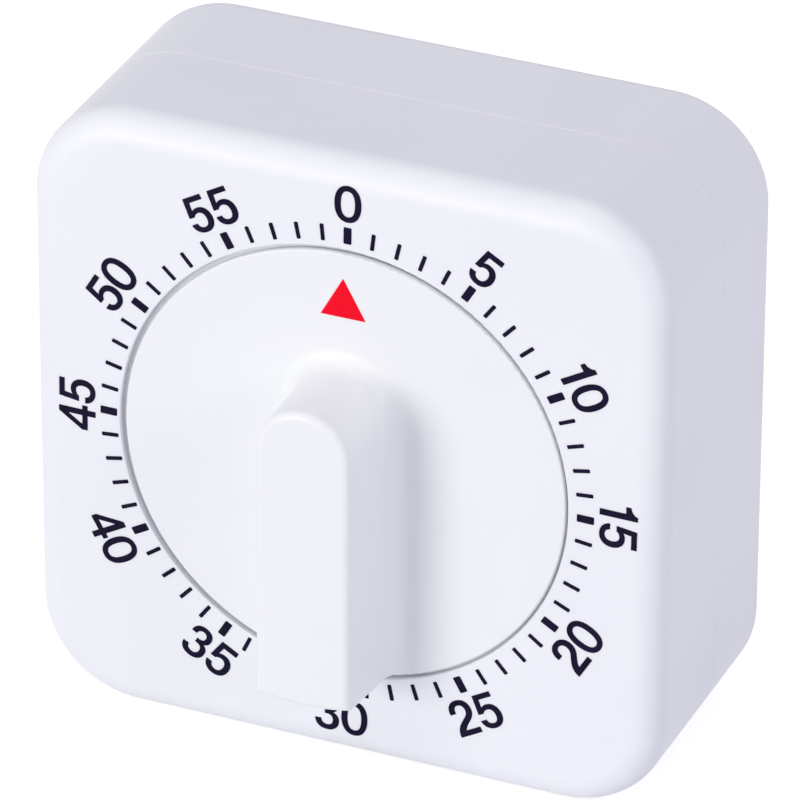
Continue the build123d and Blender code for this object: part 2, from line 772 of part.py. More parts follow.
# ---------------------------------------------------------------- going train
def arbor(axis, leaves=None, first_leaf=0.0, collar=None):
    """Steel arbor with pivots in both plates. Leaves and a collar are cut on it at the depths given."""
    disc(arbor_radius, front_plate_back + end_shake, rear_plate_front - end_shake, axis)
    disc(pivot_radius, front_plate_front - pivot_overhang, rear_plate_back + pivot_overhang, axis)
    if leaves is not None:
        toothed_disc(gear_outline(pinion_leaves, leaf_shift, leaf_addendum, first_leaf), *leaves, axis)
    if collar is not None:
        disc(collar_radius, collar, collar + collar_length, axis)


def leaf_bearing(driver, driven):
    """Bearing of a pinion's leaf that sets a gap between leaves against the driving wheel's tooth."""
    return bearing_of(driven, driver) + 180 / pinion_leaves


def train_wheel(teeth, axis, next_axis, front):
    """Brass wheel with a tooth pointing at the next arbor, a bore for its own and round windows."""
    back = front + wheel_thickness
    pitch_radius = gear_module * teeth / 2
    toothed_disc(gear_outline(teeth, -leaf_shift, wheel_addendum, bearing_of(axis, next_axis)),
                 front, back, axis)
    disc(arbor_radius + seat_gap, front, back, axis, Mode.SUBTRACT)
    windows(train_window_count, train_window_place_share * pitch_radius,
            train_window_radius_share * pitch_radius, front, back, axis)


with BuildPart() as second_pinion:
    arbor(second_axis, (second_wheel_back, main_wheel_back + leaf_overhang),
          leaf_bearing(main_axis, second_axis))
save(second_pinion, "second_pinion")

with BuildPart() as second_wheel:
    train_wheel(second_teeth, second_axis, third_axis, second_wheel_front)
save(second_wheel, "second_wheel")

with BuildPart() as third_pinion:
    arbor(third_axis, (third_wheel_back, second_wheel_back + leaf_overhang),
          leaf_bearing(second_axis, third_axis))
save(third_pinion, "third_pinion")

with BuildPart() as third_wheel:
    train_wheel(third_teeth, third_axis, escape_axis, third_wheel_front)
save(third_wheel, "third_wheel")

with BuildPart() as escape_pinion:
    arbor(escape_axis, (third_wheel_front - leaf_overhang, third_wheel_back + leaf_overhang),
          leaf_bearing(third_axis, escape_axis), escape_wheel_front - collar_length)
save(escape_pinion, "escape_pinion")


def pin_places(wheel_axis, tip_radius, other_axis, span, pin_radius, gap):
    """Two pins just outside a wheel's tips, half a span to each side of the line to the other arbor."""
    middle = bearing_of(wheel_axis, other_axis)
    orbit = tip_radius + pin_radius + gap
    return [polar(orbit, middle + side * span / 2, wheel_axis) for side in (-1, 1)]


escape_pitch = 360 / escape_teeth
pallet_span = pallet_span_teeth * escape_pitch
pallet_pins_at = pin_places(escape_axis, escape_tip_radius, pallet_axis, pallet_span,
                            pallet_pin_radius, pallet_gap)

with BuildPart() as escape_wheel:
    toothed_disc(spike_outline(escape_teeth, escape_root_radius, escape_tip_radius, 0.0,
                               pallet_bearing + pallet_span / 2 + escape_pitch / 4),
                 escape_wheel_front, escape_wheel_back, escape_axis)
    disc(arbor_radius + seat_gap, escape_wheel_front, escape_wheel_back, escape_axis, Mode.SUBTRACT)
    windows(escape_window_count, escape_window_circle_radius, escape_window_radius,
            escape_wheel_front, escape_wheel_back, escape_axis)
save(escape_wheel, "escape_wheel")

with BuildPart() as pallet_arbor:
    arbor(pallet_axis, collar=pallet_plate_back)
save(pallet_arbor, "pallet_arbor")

with BuildPart() as pallet_lever:
    for pin in pallet_pins_at:
        link((pallet_axis, pin), (collar_radius, pallet_arm_radius), pallet_plate_front, pallet_plate_back)
    disc(arbor_radius + seat_gap, pallet_plate_front, pallet_plate_back, pallet_axis, Mode.SUBTRACT)
    for pin in pallet_pins_at:
        disc(pallet_pin_radius + seat_gap, pallet_plate_front, pallet_plate_back, pin, Mode.SUBTRACT)
save(pallet_lever, "pallet_lever")

with BuildPart() as pallet_pins:
    for pin in pallet_pins_at:
        disc(pallet_pin_radius, escape_wheel_front - leaf_overhang, pallet_plate_back, pin)
save(pallet_pins, "pallet_pins")

balance_front = pallet_plate_back + collar_length
balance_ends = [polar(balance_reach, pallet_bearing + side * 90, pallet_axis) for side in (-1, 1)]

with BuildPart() as balance_bar:
    link(balance_ends, (balance_arm_radius, balance_arm_radius),
         balance_front, balance_front + wheel_thickness)
    disc(collar_radius, balance_front, balance_front + wheel_thickness, pallet_axis)
    for end in balance_ends:
        disc(balance_weight_radius, balance_front, balance_front + balance_weight_height, end)
    disc(arbor_radius + seat_gap, balance_front, balance_front + wheel_thickness,
         pallet_axis, Mode.SUBTRACT)
save(balance_bar, "balance_bar")

# ---------------------------------------------------------------- alarm train and hammer
with BuildPart() as alarm_pinion:
    arbor(alarm_axis, (barrel_front - leaf_overhang, barrel_flange_back + leaf_overhang),
          leaf_bearing(main_axis, alarm_axis), cam_back)
save(alarm_pinion, "alarm_pinion")

star_pitch = 360 / star_teeth
verge_span = verge_span_teeth * star_pitch
verge_pins_at = pin_places(alarm_axis, star_tip_radius, hammer_axis, verge_span, verge_pin_radius, verge_gap)
star_first_bearing = bearing_of(alarm_axis, hammer_axis) + verge_span / 2 + star_pitch / 4

with BuildPart() as alarm_star:
    toothed_disc(spike_outline(star_teeth, star_root_radius, star_tip_radius, 0.0, star_first_bearing),
                 cam_front, cam_back, alarm_axis)
    disc(arbor_radius + seat_gap, cam_front, cam_back, alarm_axis, Mode.SUBTRACT)
save(alarm_star, "alarm_star")

verge_front = cam_back + third_wheel_gap
verge_back = verge_front + wheel_thickness
hammer_arm_front = rear_plate_back + hammer_arm_gap
hammer_arm_back = hammer_arm_front + hammer_arm_thickness

with BuildPart() as hammer_arbor:
    arbor(hammer_axis, collar=verge_back)
    disc(pivot_radius, rear_plate_back, hammer_arm_back, hammer_axis)
save(hammer_arbor, "hammer_arbor")

with BuildPart() as hammer_verge:
    for pin in verge_pins_at:
        link((hammer_axis, pin), (collar_radius, verge_arm_radius), verge_front, verge_back)
    disc(arbor_radius + seat_gap, verge_front, verge_back, hammer_axis, Mode.SUBTRACT)
    for pin in verge_pins_at:
        disc(verge_pin_radius, cam_front, verge_front, pin)
save(hammer_verge, "hammer_verge")

with BuildPart() as hammer_arm:
    link((hammer_axis, hammer_head_place), (hammer_arm_radius, hammer_arm_radius),
         hammer_arm_front, hammer_arm_back)
    disc(pivot_radius + seat_gap, hammer_arm_front, hammer_arm_back, hammer_axis, Mode.SUBTRACT)
save(hammer_arm, "hammer_arm")

with BuildPart() as hammer_head:
    disc(hammer_head_radius, hammer_arm_back, hammer_arm_back + hammer_head_height, hammer_head_place)
save(hammer_head, "hammer_head")

# ---------------------------------------------------------------- release lever that follows the cam
lever_nose = polar(cam_radius + lever_nose_gap + lever_nose_radius, lever_nose_bearing)
lever_tail_bearing = star_first_bearing + lever_tail_pitches * star_pitch
lever_tail = polar(star_tip_radius + lever_nose_gap + lever_nose_radius, lever_tail_bearing, alarm_axis)

with BuildPart() as release_lever:
    link((lever_axis, lever_elbow), (lever_boss_radius, lever_arm_radius), cam_front, cam_back)
    link((lever_elbow, lever_nose), (lever_arm_radius, lever_nose_radius), cam_front, cam_back)
    link((lever_axis, lever_tail), (lever_boss_radius, lever_nose_radius), cam_front, cam_back)
    disc(lever_stud_radius + pivot_clearance, cam_front, cam_back, lever_axis, Mode.SUBTRACT)
save(release_lever, "release_lever")

stud_head_front = cam_back + end_shake

with BuildPart() as release_stud:
    disc(lever_stud_radius, front_plate_front, stud_head_front, lever_axis)
    disc(lever_stud_head_radius, stud_head_front, stud_head_front + lever_stud_head_height, lever_axis)
    disc(lever_boss_radius, front_plate_back, cam_front - end_shake, lever_axis)
save(release_stud, "release_stud")

arm_outward = lever_nose_bearing
contact_on_arm = polar(release_spring_contact, lever_nose_bearing + 90, lever_axis)
arm_taper = (lever_boss_radius - lever_arm_radius) / lever_reach
arm_half_width = lever_boss_radius - arm_taper * release_spring_contact
spring_contact = polar(arm_half_width + release_spring_gap + release_spring_thickness,
                       arm_outward, contact_on_arm)
spring_anchor = polar(release_post_reach, arm_outward, lever_axis)

with BuildPart() as release_spring:
    link((spring_anchor, spring_contact), (release_spring_thickness, release_spring_thickness),
         cam_front, cam_back)
    disc(release_post_radius, front_plate_back, cam_back, spring_anchor)
save(release_spring, "release_spring")

# ---------------------------------------------------------------- bell on its post
dome_foot = bell_rim_front + bell_rim_height
inner_radius = bell_radius - bell_sheet
inner_dome = bell_dome_height - bell_sheet
post_back = dome_foot + inner_dome * sqrt(1 - (bell_post_radius / inner_radius) ** 2) - seat_gap
bell_axis = Axis((0, face_y, axis_z), (0, 1, 0))
bell_section = Plane(origin=(0, face_y, axis_z), x_dir=(1, 0, 0), z_dir=(0, 0, 1))


def dome(radius, height, mode):
    """Solid straight-rimmed dome, turned about the dial's axis."""
    with BuildSketch(bell_section) as profile:
        with BuildLine():
            Polyline((radius, dome_foot), (radius, bell_rim_front), (0, bell_rim_front),
                     (0, dome_foot + height))
            EllipticalCenterArc((0, dome_foot), radius, height, start_angle=0, arc_size=90)
        make_face()
    revolve(profile.sketch, axis=bell_axis, mode=mode)


with BuildPart() as bell:
    dome(bell_radius, bell_dome_height, Mode.ADD)
    dome(inner_radius, inner_dome, Mode.SUBTRACT)
    disc(bell_screw_radius + seat_gap, bell_rim_front, bell_top, mode=Mode.SUBTRACT)
save(bell, "bell")

with BuildPart() as bell_post:
    disc(bell_post_radius, rear_plate_back, post_back)
    disc(bell_post_relief, rear_plate_back, rear_plate_back + bell_post_relief_height, mode=Mode.SUBTRACT)
    disc(bell_screw_radius + seat_gap, bell_top - bell_screw_length - seat_gap, post_back, mode=Mode.SUBTRACT)
save(bell_post, "bell_post")

with BuildPart() as bell_screw:
    disc(bell_screw_radius, bell_top - bell_screw_length, bell_top)
    disc(bell_screw_head_radius, bell_top, bell_top + bell_screw_head_height)
save(bell_screw, "bell_screw")
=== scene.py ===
"""Looks of the square wind-up kitchen timer: case, dial, printed scale, fasteners, movement and studio.

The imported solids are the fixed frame. Solids whose shape is right keep their own mesh and get a finish
here. The printed scale and the case screws are built new and stand for their solids.
"""

import json
import logging
import math
from dataclasses import dataclass
from enum import Enum
from typing import Any, ClassVar, Optional

import bmesh
import bpy
from mathutils import Matrix, Vector

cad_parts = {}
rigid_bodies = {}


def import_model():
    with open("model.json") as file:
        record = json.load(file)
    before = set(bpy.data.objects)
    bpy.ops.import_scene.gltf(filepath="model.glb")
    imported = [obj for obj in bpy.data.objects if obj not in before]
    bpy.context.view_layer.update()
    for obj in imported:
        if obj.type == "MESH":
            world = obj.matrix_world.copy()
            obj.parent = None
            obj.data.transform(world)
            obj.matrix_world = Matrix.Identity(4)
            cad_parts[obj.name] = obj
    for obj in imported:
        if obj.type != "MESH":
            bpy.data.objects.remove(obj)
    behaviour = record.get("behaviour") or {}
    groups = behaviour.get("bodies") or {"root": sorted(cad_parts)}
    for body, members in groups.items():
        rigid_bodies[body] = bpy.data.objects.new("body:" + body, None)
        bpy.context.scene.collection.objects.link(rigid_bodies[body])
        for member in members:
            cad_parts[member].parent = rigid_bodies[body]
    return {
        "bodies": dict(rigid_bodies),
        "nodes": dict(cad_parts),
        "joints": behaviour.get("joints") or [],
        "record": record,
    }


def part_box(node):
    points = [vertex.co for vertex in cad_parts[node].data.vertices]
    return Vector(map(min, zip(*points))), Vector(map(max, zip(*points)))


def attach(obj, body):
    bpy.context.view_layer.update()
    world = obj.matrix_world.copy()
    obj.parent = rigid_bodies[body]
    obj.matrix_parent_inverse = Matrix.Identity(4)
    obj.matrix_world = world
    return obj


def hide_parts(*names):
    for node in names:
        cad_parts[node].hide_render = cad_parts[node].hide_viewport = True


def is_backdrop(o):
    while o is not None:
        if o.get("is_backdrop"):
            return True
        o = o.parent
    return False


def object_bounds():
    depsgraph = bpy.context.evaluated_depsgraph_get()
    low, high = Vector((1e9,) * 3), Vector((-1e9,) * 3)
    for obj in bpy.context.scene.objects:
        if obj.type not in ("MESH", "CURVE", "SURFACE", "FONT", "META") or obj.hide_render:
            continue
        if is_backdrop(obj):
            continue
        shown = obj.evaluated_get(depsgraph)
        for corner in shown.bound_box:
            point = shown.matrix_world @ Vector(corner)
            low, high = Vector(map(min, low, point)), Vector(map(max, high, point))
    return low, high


LOG = logging.getLogger("timer")
MM = 0.001
Rgba = tuple[float, float, float, float]
Point2 = tuple[float, float]


def srgb(red: float, green: float, blue: float) -> Rgba:
    """Turn a display colour into the linear colour that a shader takes.

    Args:
        red: Red from 0 to 255.
        green: Green from 0 to 255.
        blue: Blue from 0 to 255.

    Returns:
        The linear colour with an alpha of 1.
    """
    def linear(value: float) -> float:
        """Undo the display curve for one channel."""
        share = value / 255
        return share / 12.92 if share <= 0.04045 else ((share + 0.055) / 1.055) ** 2.4
    return (linear(red), linear(green), linear(blue), 1.0)


# ---------- writing node trees
class TreeWriter:
    """Writes a node tree: adds nodes from left to right, sets their inputs and links them."""

    def __init__(self, tree: bpy.types.NodeTree) -> None:
        """Start writing in an empty tree."""
        self.tree = tree
        tree.nodes.clear()

    def add(self, kind: str, inputs: Optional[dict[Any, Any]] = None, **settings: Any) -> bpy.types.Node:
        """Add a node.

        Args:
            kind: The node's type name.
            inputs: Values or output sockets for its inputs, by name or index.
            **settings: Properties of the node itself.

        Returns:
            The new node.
        """
        node = self.tree.nodes.new(kind)
        node.location = (200 * len(self.tree.nodes), 0)
        for name, value in settings.items():
            setattr(node, name, value)
        for key, value in (inputs or {}).items():
            if isinstance(value, bpy.types.NodeSocket):
                self.tree.links.new(value, node.inputs[key])
            else:
                node.inputs[key].default_value = value
        return node

    def math(self, operation: str, first: Any, second: Any = 0.0, third: Any = 0.0) -> bpy.types.NodeSocket:
        """Add a Math node and return its result."""
        return self.add("ShaderNodeMath", {0: first, 1: second, 2: third}, operation=operation).outputs[0]

    def ramp(self, value: Any, low: float, high: float) -> bpy.types.NodeSocket:
        """Rise smoothly from 0 at the low value to 1 at the high one, and return the result."""
        ends = {"Value": value, "From Min": low, "From Max": high}
        return self.add("ShaderNodeMapRange", ends, interpolation_type="SMOOTHSTEP").outputs["Result"]

    def mix(self, share: Any, first: Any, second: Any) -> bpy.types.NodeSocket:
        """Mix two colours and return the result."""
        return self.add("ShaderNodeMix", {0: share, 6: first, 7: second}, data_type="RGBA").outputs[2]

    def noise(self, vector: Any, scale: Any, detail: float = 1.0,
              roughness: float = 0.5) -> bpy.types.NodeSocket:
        """Add a Noise Texture and return its value."""
        return self.add("ShaderNodeTexNoise", {"Vector": vector, "Scale": scale, "Detail": detail,
                                               "Roughness": roughness}).outputs[0]


class Effect(Enum):
    """Shader effects that more than one finish uses."""

    MOULDED_GRAIN = "moulded_grain"
    HANDLING_MARKS = "handling_marks"
    TURNED_RINGS = "turned_rings"
    STAIN = "stain"


class EffectLibrary:
    """Builds each shared shader effect once, as a node group. Lengths in metres."""

    waves_per_patch = 0.35
    grain_share = 0.25
    hairs_per_smudge = 30.0
    hair_share = 0.5
    specks_per_cloud = 9.0
    speck_share = 0.6
    drift_scale = 160.0
    drift_reach = 0.00006

    def __init__(self) -> None:
        """Build every effect."""
        self.trees = {
            Effect.MOULDED_GRAIN: self._moulded_grain(),
            Effect.HANDLING_MARKS: self._handling_marks(),
            Effect.TURNED_RINGS: self._turned_rings(),
            Effect.STAIN: self._stain(),
        }

    @staticmethod
    def _start(effect: Effect, inputs: tuple[str, ...],
               outputs: tuple[str, ...]) -> tuple[TreeWriter, list[bpy.types.NodeSocket]]:
        """Start a group that takes a Vector and floats, and gives floats.

        Args:
            effect: Which effect it makes.
            inputs: Its float inputs.
            outputs: Its outputs.

        Returns:
            The writer of its tree, and its Vector and inputs.
        """
        tree = bpy.data.node_groups.new(effect.value, "ShaderNodeTree")
        tree.interface.new_socket("Vector", in_out="INPUT", socket_type="NodeSocketVector")
        for way, names in (("INPUT", inputs), ("OUTPUT", outputs)):
            for name in names:
                tree.interface.new_socket(name, in_out=way, socket_type="NodeSocketFloat")
        write = TreeWriter(tree)
        given = write.add("NodeGroupInput").outputs
        return write, [given[name] for name in ("Vector", *inputs)]

    def _moulded_grain(self) -> bpy.types.NodeTree:
        """Fine texture of a moulding tool, with broad uneven patches.

        Returns:
            Its tree.
        """
        write, (vector, grain, patch) = self._start(Effect.MOULDED_GRAIN, ("Grain", "Patch"),
                                                    ("Height", "Patches"))
        fine = write.noise(vector, write.math("DIVIDE", 1.0, grain), detail=3.0, roughness=0.6)
        waves = write.noise(vector, write.math("DIVIDE", self.waves_per_patch, patch))
        broad = write.noise(vector, write.math("DIVIDE", 1.0, patch), detail=3.0)
        height = write.math("MULTIPLY_ADD", fine, self.grain_share, waves)
        write.add("NodeGroupOutput", {"Height": height, "Patches": write.ramp(broad, low=0.3, high=0.7)})
        return write.tree

    def _handling_marks(self) -> bpy.types.NodeTree:
        """Faint hairline scratches and finger smudges.

        Returns:
            Its tree.
        """
        write, (vector, size, cover) = self._start(Effect.HANDLING_MARKS, ("Size", "Cover"), ("Mask",))
        turned = write.add("ShaderNodeMapping", {"Vector": vector, "Rotation": (0.4, 0.9, 0.3),
                                                 "Scale": (1.0, 0.06, 0.06)}).outputs[0]
        crossed = write.add("ShaderNodeMapping", {"Vector": vector, "Rotation": (1.1, -0.5, 0.8),
                                                  "Scale": (0.05, 1.0, 0.07)}).outputs[0]
        scale = write.math("DIVIDE", self.hairs_per_smudge, size)
        hairs = write.math("MAXIMUM", write.ramp(write.noise(turned, scale), low=0.66, high=0.74),
                           write.ramp(write.noise(crossed, scale), low=0.67, high=0.75))
        cloud = write.noise(vector, write.math("DIVIDE", 1.0, size), detail=4.0, roughness=0.6)
        smudge = write.math("MULTIPLY", write.ramp(cloud, low=0.5, high=0.72), 1 - self.hair_share)
        both = write.math("MULTIPLY_ADD", hairs, self.hair_share, smudge)
        write.add("NodeGroupOutput", {"Mask": write.math("MULTIPLY", both, cover)})
        return write.tree

    def _turned_rings(self) -> bpy.types.NodeTree:
        """Concentric tool marks about the local Y axis, broken up a little.

        Returns:
            Its tree.
        """
        write, (vector, pitch) = self._start(Effect.TURNED_RINGS, ("Pitch",), ("Height", "Rings"))
        across, depth, up = write.add("ShaderNodeSeparateXYZ", {0: vector}).outputs
        square = write.math("ADD", write.math("MULTIPLY", across, across), write.math("MULTIPLY", up, up))
        radius = write.math("SQRT", square)
        drift = write.noise(vector, self.drift_scale)
        place = write.math("MULTIPLY_ADD", drift, self.drift_reach, radius)
        along = write.add("ShaderNodeCombineXYZ", {0: write.math("DIVIDE", place, pitch),
                                                   1: depth}).outputs[0]
        rings = write.noise(along, 1.0, detail=2.0, roughness=0.6)
        write.add("NodeGroupOutput", {"Height": rings, "Rings": write.ramp(rings, low=0.35, high=0.65)})
        return write.tree

    def _stain(self) -> bpy.types.NodeTree:
        """Cloudy tarnish with small specks.

        Returns:
            Its tree.
        """
        write, (vector, size, cover) = self._start(Effect.STAIN, ("Size", "Cover"), ("Mask",))
        broad = write.noise(vector, write.math("DIVIDE", 1.0, size), detail=5.0, roughness=0.62)
        cloud = write.ramp(broad, low=0.42, high=0.68)
        fine = write.noise(vector, write.math("DIVIDE", self.specks_per_cloud, size))
        specks = write.math("MULTIPLY", write.ramp(fine, low=0.66, high=0.76), self.speck_share)
        both = write.math("MINIMUM", write.math("ADD", cloud, specks), 1.0)
        write.add("NodeGroupOutput", {"Mask": write.math("MULTIPLY", both, cover)})
        return write.tree


# ---------- finishes
Surface = tuple[bpy.types.NodeSocket, bpy.types.NodeSocket, bpy.types.NodeSocket]


class MaterialWriter(TreeWriter):
    """Writes a material's tree, with the piece's own coordinates and the shared effects at hand."""

    def __init__(self, tree: bpy.types.NodeTree, effects: EffectLibrary) -> None:
        """Start in an empty tree with the coordinates.

        Args:
            tree: The material's tree.
            effects: The shared effects.
        """
        super().__init__(tree)
        self.effects = effects
        self.vector = self.add("ShaderNodeTexCoord").outputs["Object"]

    def effect(self, effect: Effect, **inputs: Any) -> bpy.types.NodeOutputs:
        """Add a shared effect on the piece's coordinates, or on the Vector given, and return its outputs."""
        placed = {"Vector": self.vector, **inputs}
        return self.add("ShaderNodeGroup", placed, node_tree=self.effects.trees[effect]).outputs


@dataclass(frozen=True)
class Finish:
    """What every finish has: a name, a main colour, a roughness and a relief. Lengths in metres.

    Its constants are the inputs of the shader that stay the same everywhere.
    """

    constants: ClassVar[dict[str, float]] = {"Metallic": 1.0}
    name: str
    colour: Rgba
    roughness: float
    bump: float = 0.45
    relief: float = 0.00001

    def build(self, effects: EffectLibrary) -> bpy.types.Material:
        """Build the material.

        Args:
            effects: The shared effects.

        Returns:
            The new material.
        """
        material = bpy.data.materials.new(self.name)
        material.use_nodes = True
        material.diffuse_color = self.colour
        write = MaterialWriter(material.node_tree, effects)
        colour, rough, height = self._surface(write)
        bump = write.add("ShaderNodeBump", {"Strength": self.bump, "Distance": self.relief, "Height": height})
        shader = write.add("ShaderNodeBsdfPrincipled", {"Base Color": colour, "Roughness": rough,
                                                        "Normal": bump.outputs[0], **self.constants})
        write.add("ShaderNodeOutputMaterial", {"Surface": shader.outputs[0]})
        return material

    def _surface(self, write: MaterialWriter) -> Surface:
        """Write the pattern of the surface.

        Args:
            write: The writer of the material.

        Returns:
            Its colour, roughness and height.
        """
        raise NotImplementedError


@dataclass(frozen=True)
class MouldedPlastic(Finish):
    """Satin moulded plastic: fine grain, slow surface waves, uneven tone and faint handling marks."""

    constants: ClassVar[dict[str, float]] = {"IOR": 1.5}
    shade: Rgba = (0.8, 0.8, 0.8, 1.0)
    grain: float = 0.00035
    patch: float = 0.03
    patch_tone: float = 0.5
    patch_roughness: float = 0.05
    marks: float = 0.5
    mark_size: float = 0.02
    mark_tone: float = 0.12
    mark_roughness: float = 0.16
    bump: float = 0.35
    relief: float = 0.000012

    def _surface(self, write: MaterialWriter) -> Surface:
        """Write grain, uneven tone and handling marks.

        Args:
            write: The writer of the material.

        Returns:
            Its colour, roughness and height.
        """
        grain = write.effect(Effect.MOULDED_GRAIN, Grain=self.grain, Patch=self.patch)
        marks = write.effect(Effect.HANDLING_MARKS, Size=self.mark_size, Cover=self.marks)
        patches, mask = grain["Patches"], marks["Mask"]
        tone = write.mix(write.math("MULTIPLY", patches, self.patch_tone), self.colour, self.shade)
        colour = write.mix(write.math("MULTIPLY", mask, self.mark_tone), tone, self.shade)
        rough = write.math("ADD", write.math("MULTIPLY", patches, self.patch_roughness),
                           write.math("MULTIPLY_ADD", mask, self.mark_roughness, self.roughness))
        return colour, rough, grain["Height"]


@dataclass(frozen=True)
class PrintedInk(Finish):
    """Pad-printed ink: slightly uneven cover and a dry, dull surface."""

    constants: ClassVar[dict[str, float]] = {"Specular IOR Level": 0.1}
    worn: Rgba = (0.1, 0.1, 0.1, 1.0)
    worn_size: float = 0.0022
    worn_cover: float = 0.55
    grain: float = 0.0002
    patch: float = 0.004
    patch_roughness: float = 0.12
    bump: float = 0.4
    relief: float = 0.000008

    def _surface(self, write: MaterialWriter) -> Surface:
        """Write worn spots and grain.

        Args:
            write: The writer of the material.

        Returns:
            Its colour, roughness and height.
        """
        spots = write.effect(Effect.STAIN, Size=self.worn_size, Cover=self.worn_cover)
        grain = write.effect(Effect.MOULDED_GRAIN, Grain=self.grain, Patch=self.patch)
        colour = write.mix(spots["Mask"], self.colour, self.worn)
        rough = write.math("MULTIPLY_ADD", grain["Patches"], self.patch_roughness, self.roughness)
        return colour, rough, grain["Height"]


@dataclass(frozen=True)
class TurnedMetal(Finish):
    """Metal with concentric tool marks about an axis along Y, tarnish and a bright worn tone."""

    tarnish: Rgba = (0.2, 0.2, 0.2, 1.0)
    centre: Point2 = (0.0, 0.0)
    pitch: float = 0.00018
    stain_size: float = 0.005
    stain_cover: float = 0.45
    stain_roughness: float = 0.28
    brightening: float = 1.12
    ring_tone: float = 0.35
    ring_roughness: float = 0.08
    bump: float = 0.5

    def _surface(self, write: MaterialWriter) -> Surface:
        """Write rings and tarnish.

        Args:
            write: The writer of the material.

        Returns:
            Its colour, roughness and height.
        """
        to_centre = {"Vector": write.vector, "Location": (-self.centre[0], 0.0, -self.centre[1])}
        turning = write.effect(Effect.TURNED_RINGS, Pitch=self.pitch,
                               Vector=write.add("ShaderNodeMapping", to_centre).outputs[0])
        stain = write.effect(Effect.STAIN, Size=self.stain_size, Cover=self.stain_cover)
        rings, mask = turning["Rings"], stain["Mask"]
        bright = tuple(min(1.0, value * self.brightening) for value in self.colour[:3]) + (1.0,)
        colour = write.mix(write.math("MULTIPLY", rings, self.ring_tone),
                           write.mix(mask, self.colour, self.tarnish), bright)
        rough = write.math("ADD", write.math("MULTIPLY", rings, self.ring_roughness),
                           write.math("MULTIPLY_ADD", mask, self.stain_roughness, self.roughness))
        return colour, rough, turning["Height"]


@dataclass(frozen=True)
class RolledMetal(Finish):
    """Sheet or strip metal with a straight rolled grain, oil stain and handling marks."""

    tarnish: Rgba = (0.2, 0.2, 0.2, 1.0)
    grain: float = 0.0004
    patch: float = 0.006
    along: tuple[float, float, float] = (0.04, 1.0, 1.0)
    stain_size: float = 0.007
    stain_cover: float = 0.4
    stain_roughness: float = 0.25
    marks: float = 0.7
    mark_size: float = 0.012
    mark_roughness: float = 0.2

    def _surface(self, write: MaterialWriter) -> Surface:
        """Write rolled grain, stain and handling marks.

        Args:
            write: The writer of the material.

        Returns:
            Its colour, roughness and height.
        """
        drawn = write.add("ShaderNodeMapping", {"Vector": write.vector, "Scale": self.along}).outputs[0]
        grain = write.effect(Effect.MOULDED_GRAIN, Vector=drawn, Grain=self.grain, Patch=self.patch)
        mask = write.effect(Effect.STAIN, Size=self.stain_size, Cover=self.stain_cover)["Mask"]
        marks = write.effect(Effect.HANDLING_MARKS, Size=self.mark_size, Cover=self.marks)["Mask"]
        rough = write.math("ADD", write.math("MULTIPLY", mask, self.stain_roughness),
                           write.math("MULTIPLY_ADD", marks, self.mark_roughness, self.roughness))
        return write.mix(mask, self.colour, self.tarnish), rough, grain["Height"]


# ---------- the frame
class Timer:
    """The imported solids, the places that the new pieces take from them, and the shared effects."""

    def __init__(self) -> None:
        """Load the frame and measure it."""
        self.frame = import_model()
        self.effects = EffectLibrary()
        low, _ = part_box("front_case")
        dial_low, dial_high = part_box("dial_knob")
        self.axis = Vector(((dial_low.x + dial_high.x) / 2, low.y, (dial_low.z + dial_high.z) / 2))

    def dress(self, finish: Finish, *nodes: str) -> None:
        """Build a finish and give it to solids.

        Args:
            finish: The finish.
            *nodes: The solids' names.
        """
        material = finish.build(self.effects)
        for node in nodes:
            piece = self.frame["nodes"][node]
            piece.data.materials.clear()
            piece.data.materials.append(material)
            LOG.info("%s: %s", node, finish.name)

    def stand_for(self, piece: bpy.types.Object, body: str, slot: str, *nodes: str) -> None:
        """Let a new piece ride on a body and stand for solids.

        Args:
            piece: The new piece.
            body: The body that it moves with.
            slot: Not used.
            *nodes: The solids that it stands for.
        """
        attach(piece, body)
        if nodes:
            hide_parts(*nodes)
        LOG.info("%s: %d faces", piece.name, len(piece.data.polygons))

    def centre_of(self, node: str) -> Point2:
        """Return the middle of a solid's box, right and up."""
        low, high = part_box(node)
        return ((low.x + high.x) / 2, (low.z + high.z) / 2)


def add_object(name: str, mesh: bpy.types.Mesh) -> bpy.types.Object:
    """Link a mesh into the scene as a new object at the origin.

    Args:
        name: The object's name.
        mesh: Its mesh.

    Returns:
        The new object.
    """
    piece = bpy.data.objects.new(name, mesh)
    bpy.context.scene.collection.objects.link(piece)
    return piece


def take_mesh(name: str, work: bmesh.types.BMesh) -> bpy.types.Mesh:
    """Turn a worked shape into a mesh and free it.

    Args:
        name: The mesh's name.
        work: The shape.

    Returns:
        The new mesh.
    """
    mesh = bpy.data.meshes.new(name)
    work.to_mesh(mesh)
    work.free()
    return mesh


def smooth_by_angle(mesh: bpy.types.Mesh, degrees: float) -> None:
    """Shade a mesh smooth, with sharp edges above an angle.

    Args:
        mesh: The mesh.
        degrees: The angle.
    """
    for polygon in mesh.polygons:
        polygon.use_smooth = True
    mesh.set_sharp_from_angle(angle=math.radians(degrees))


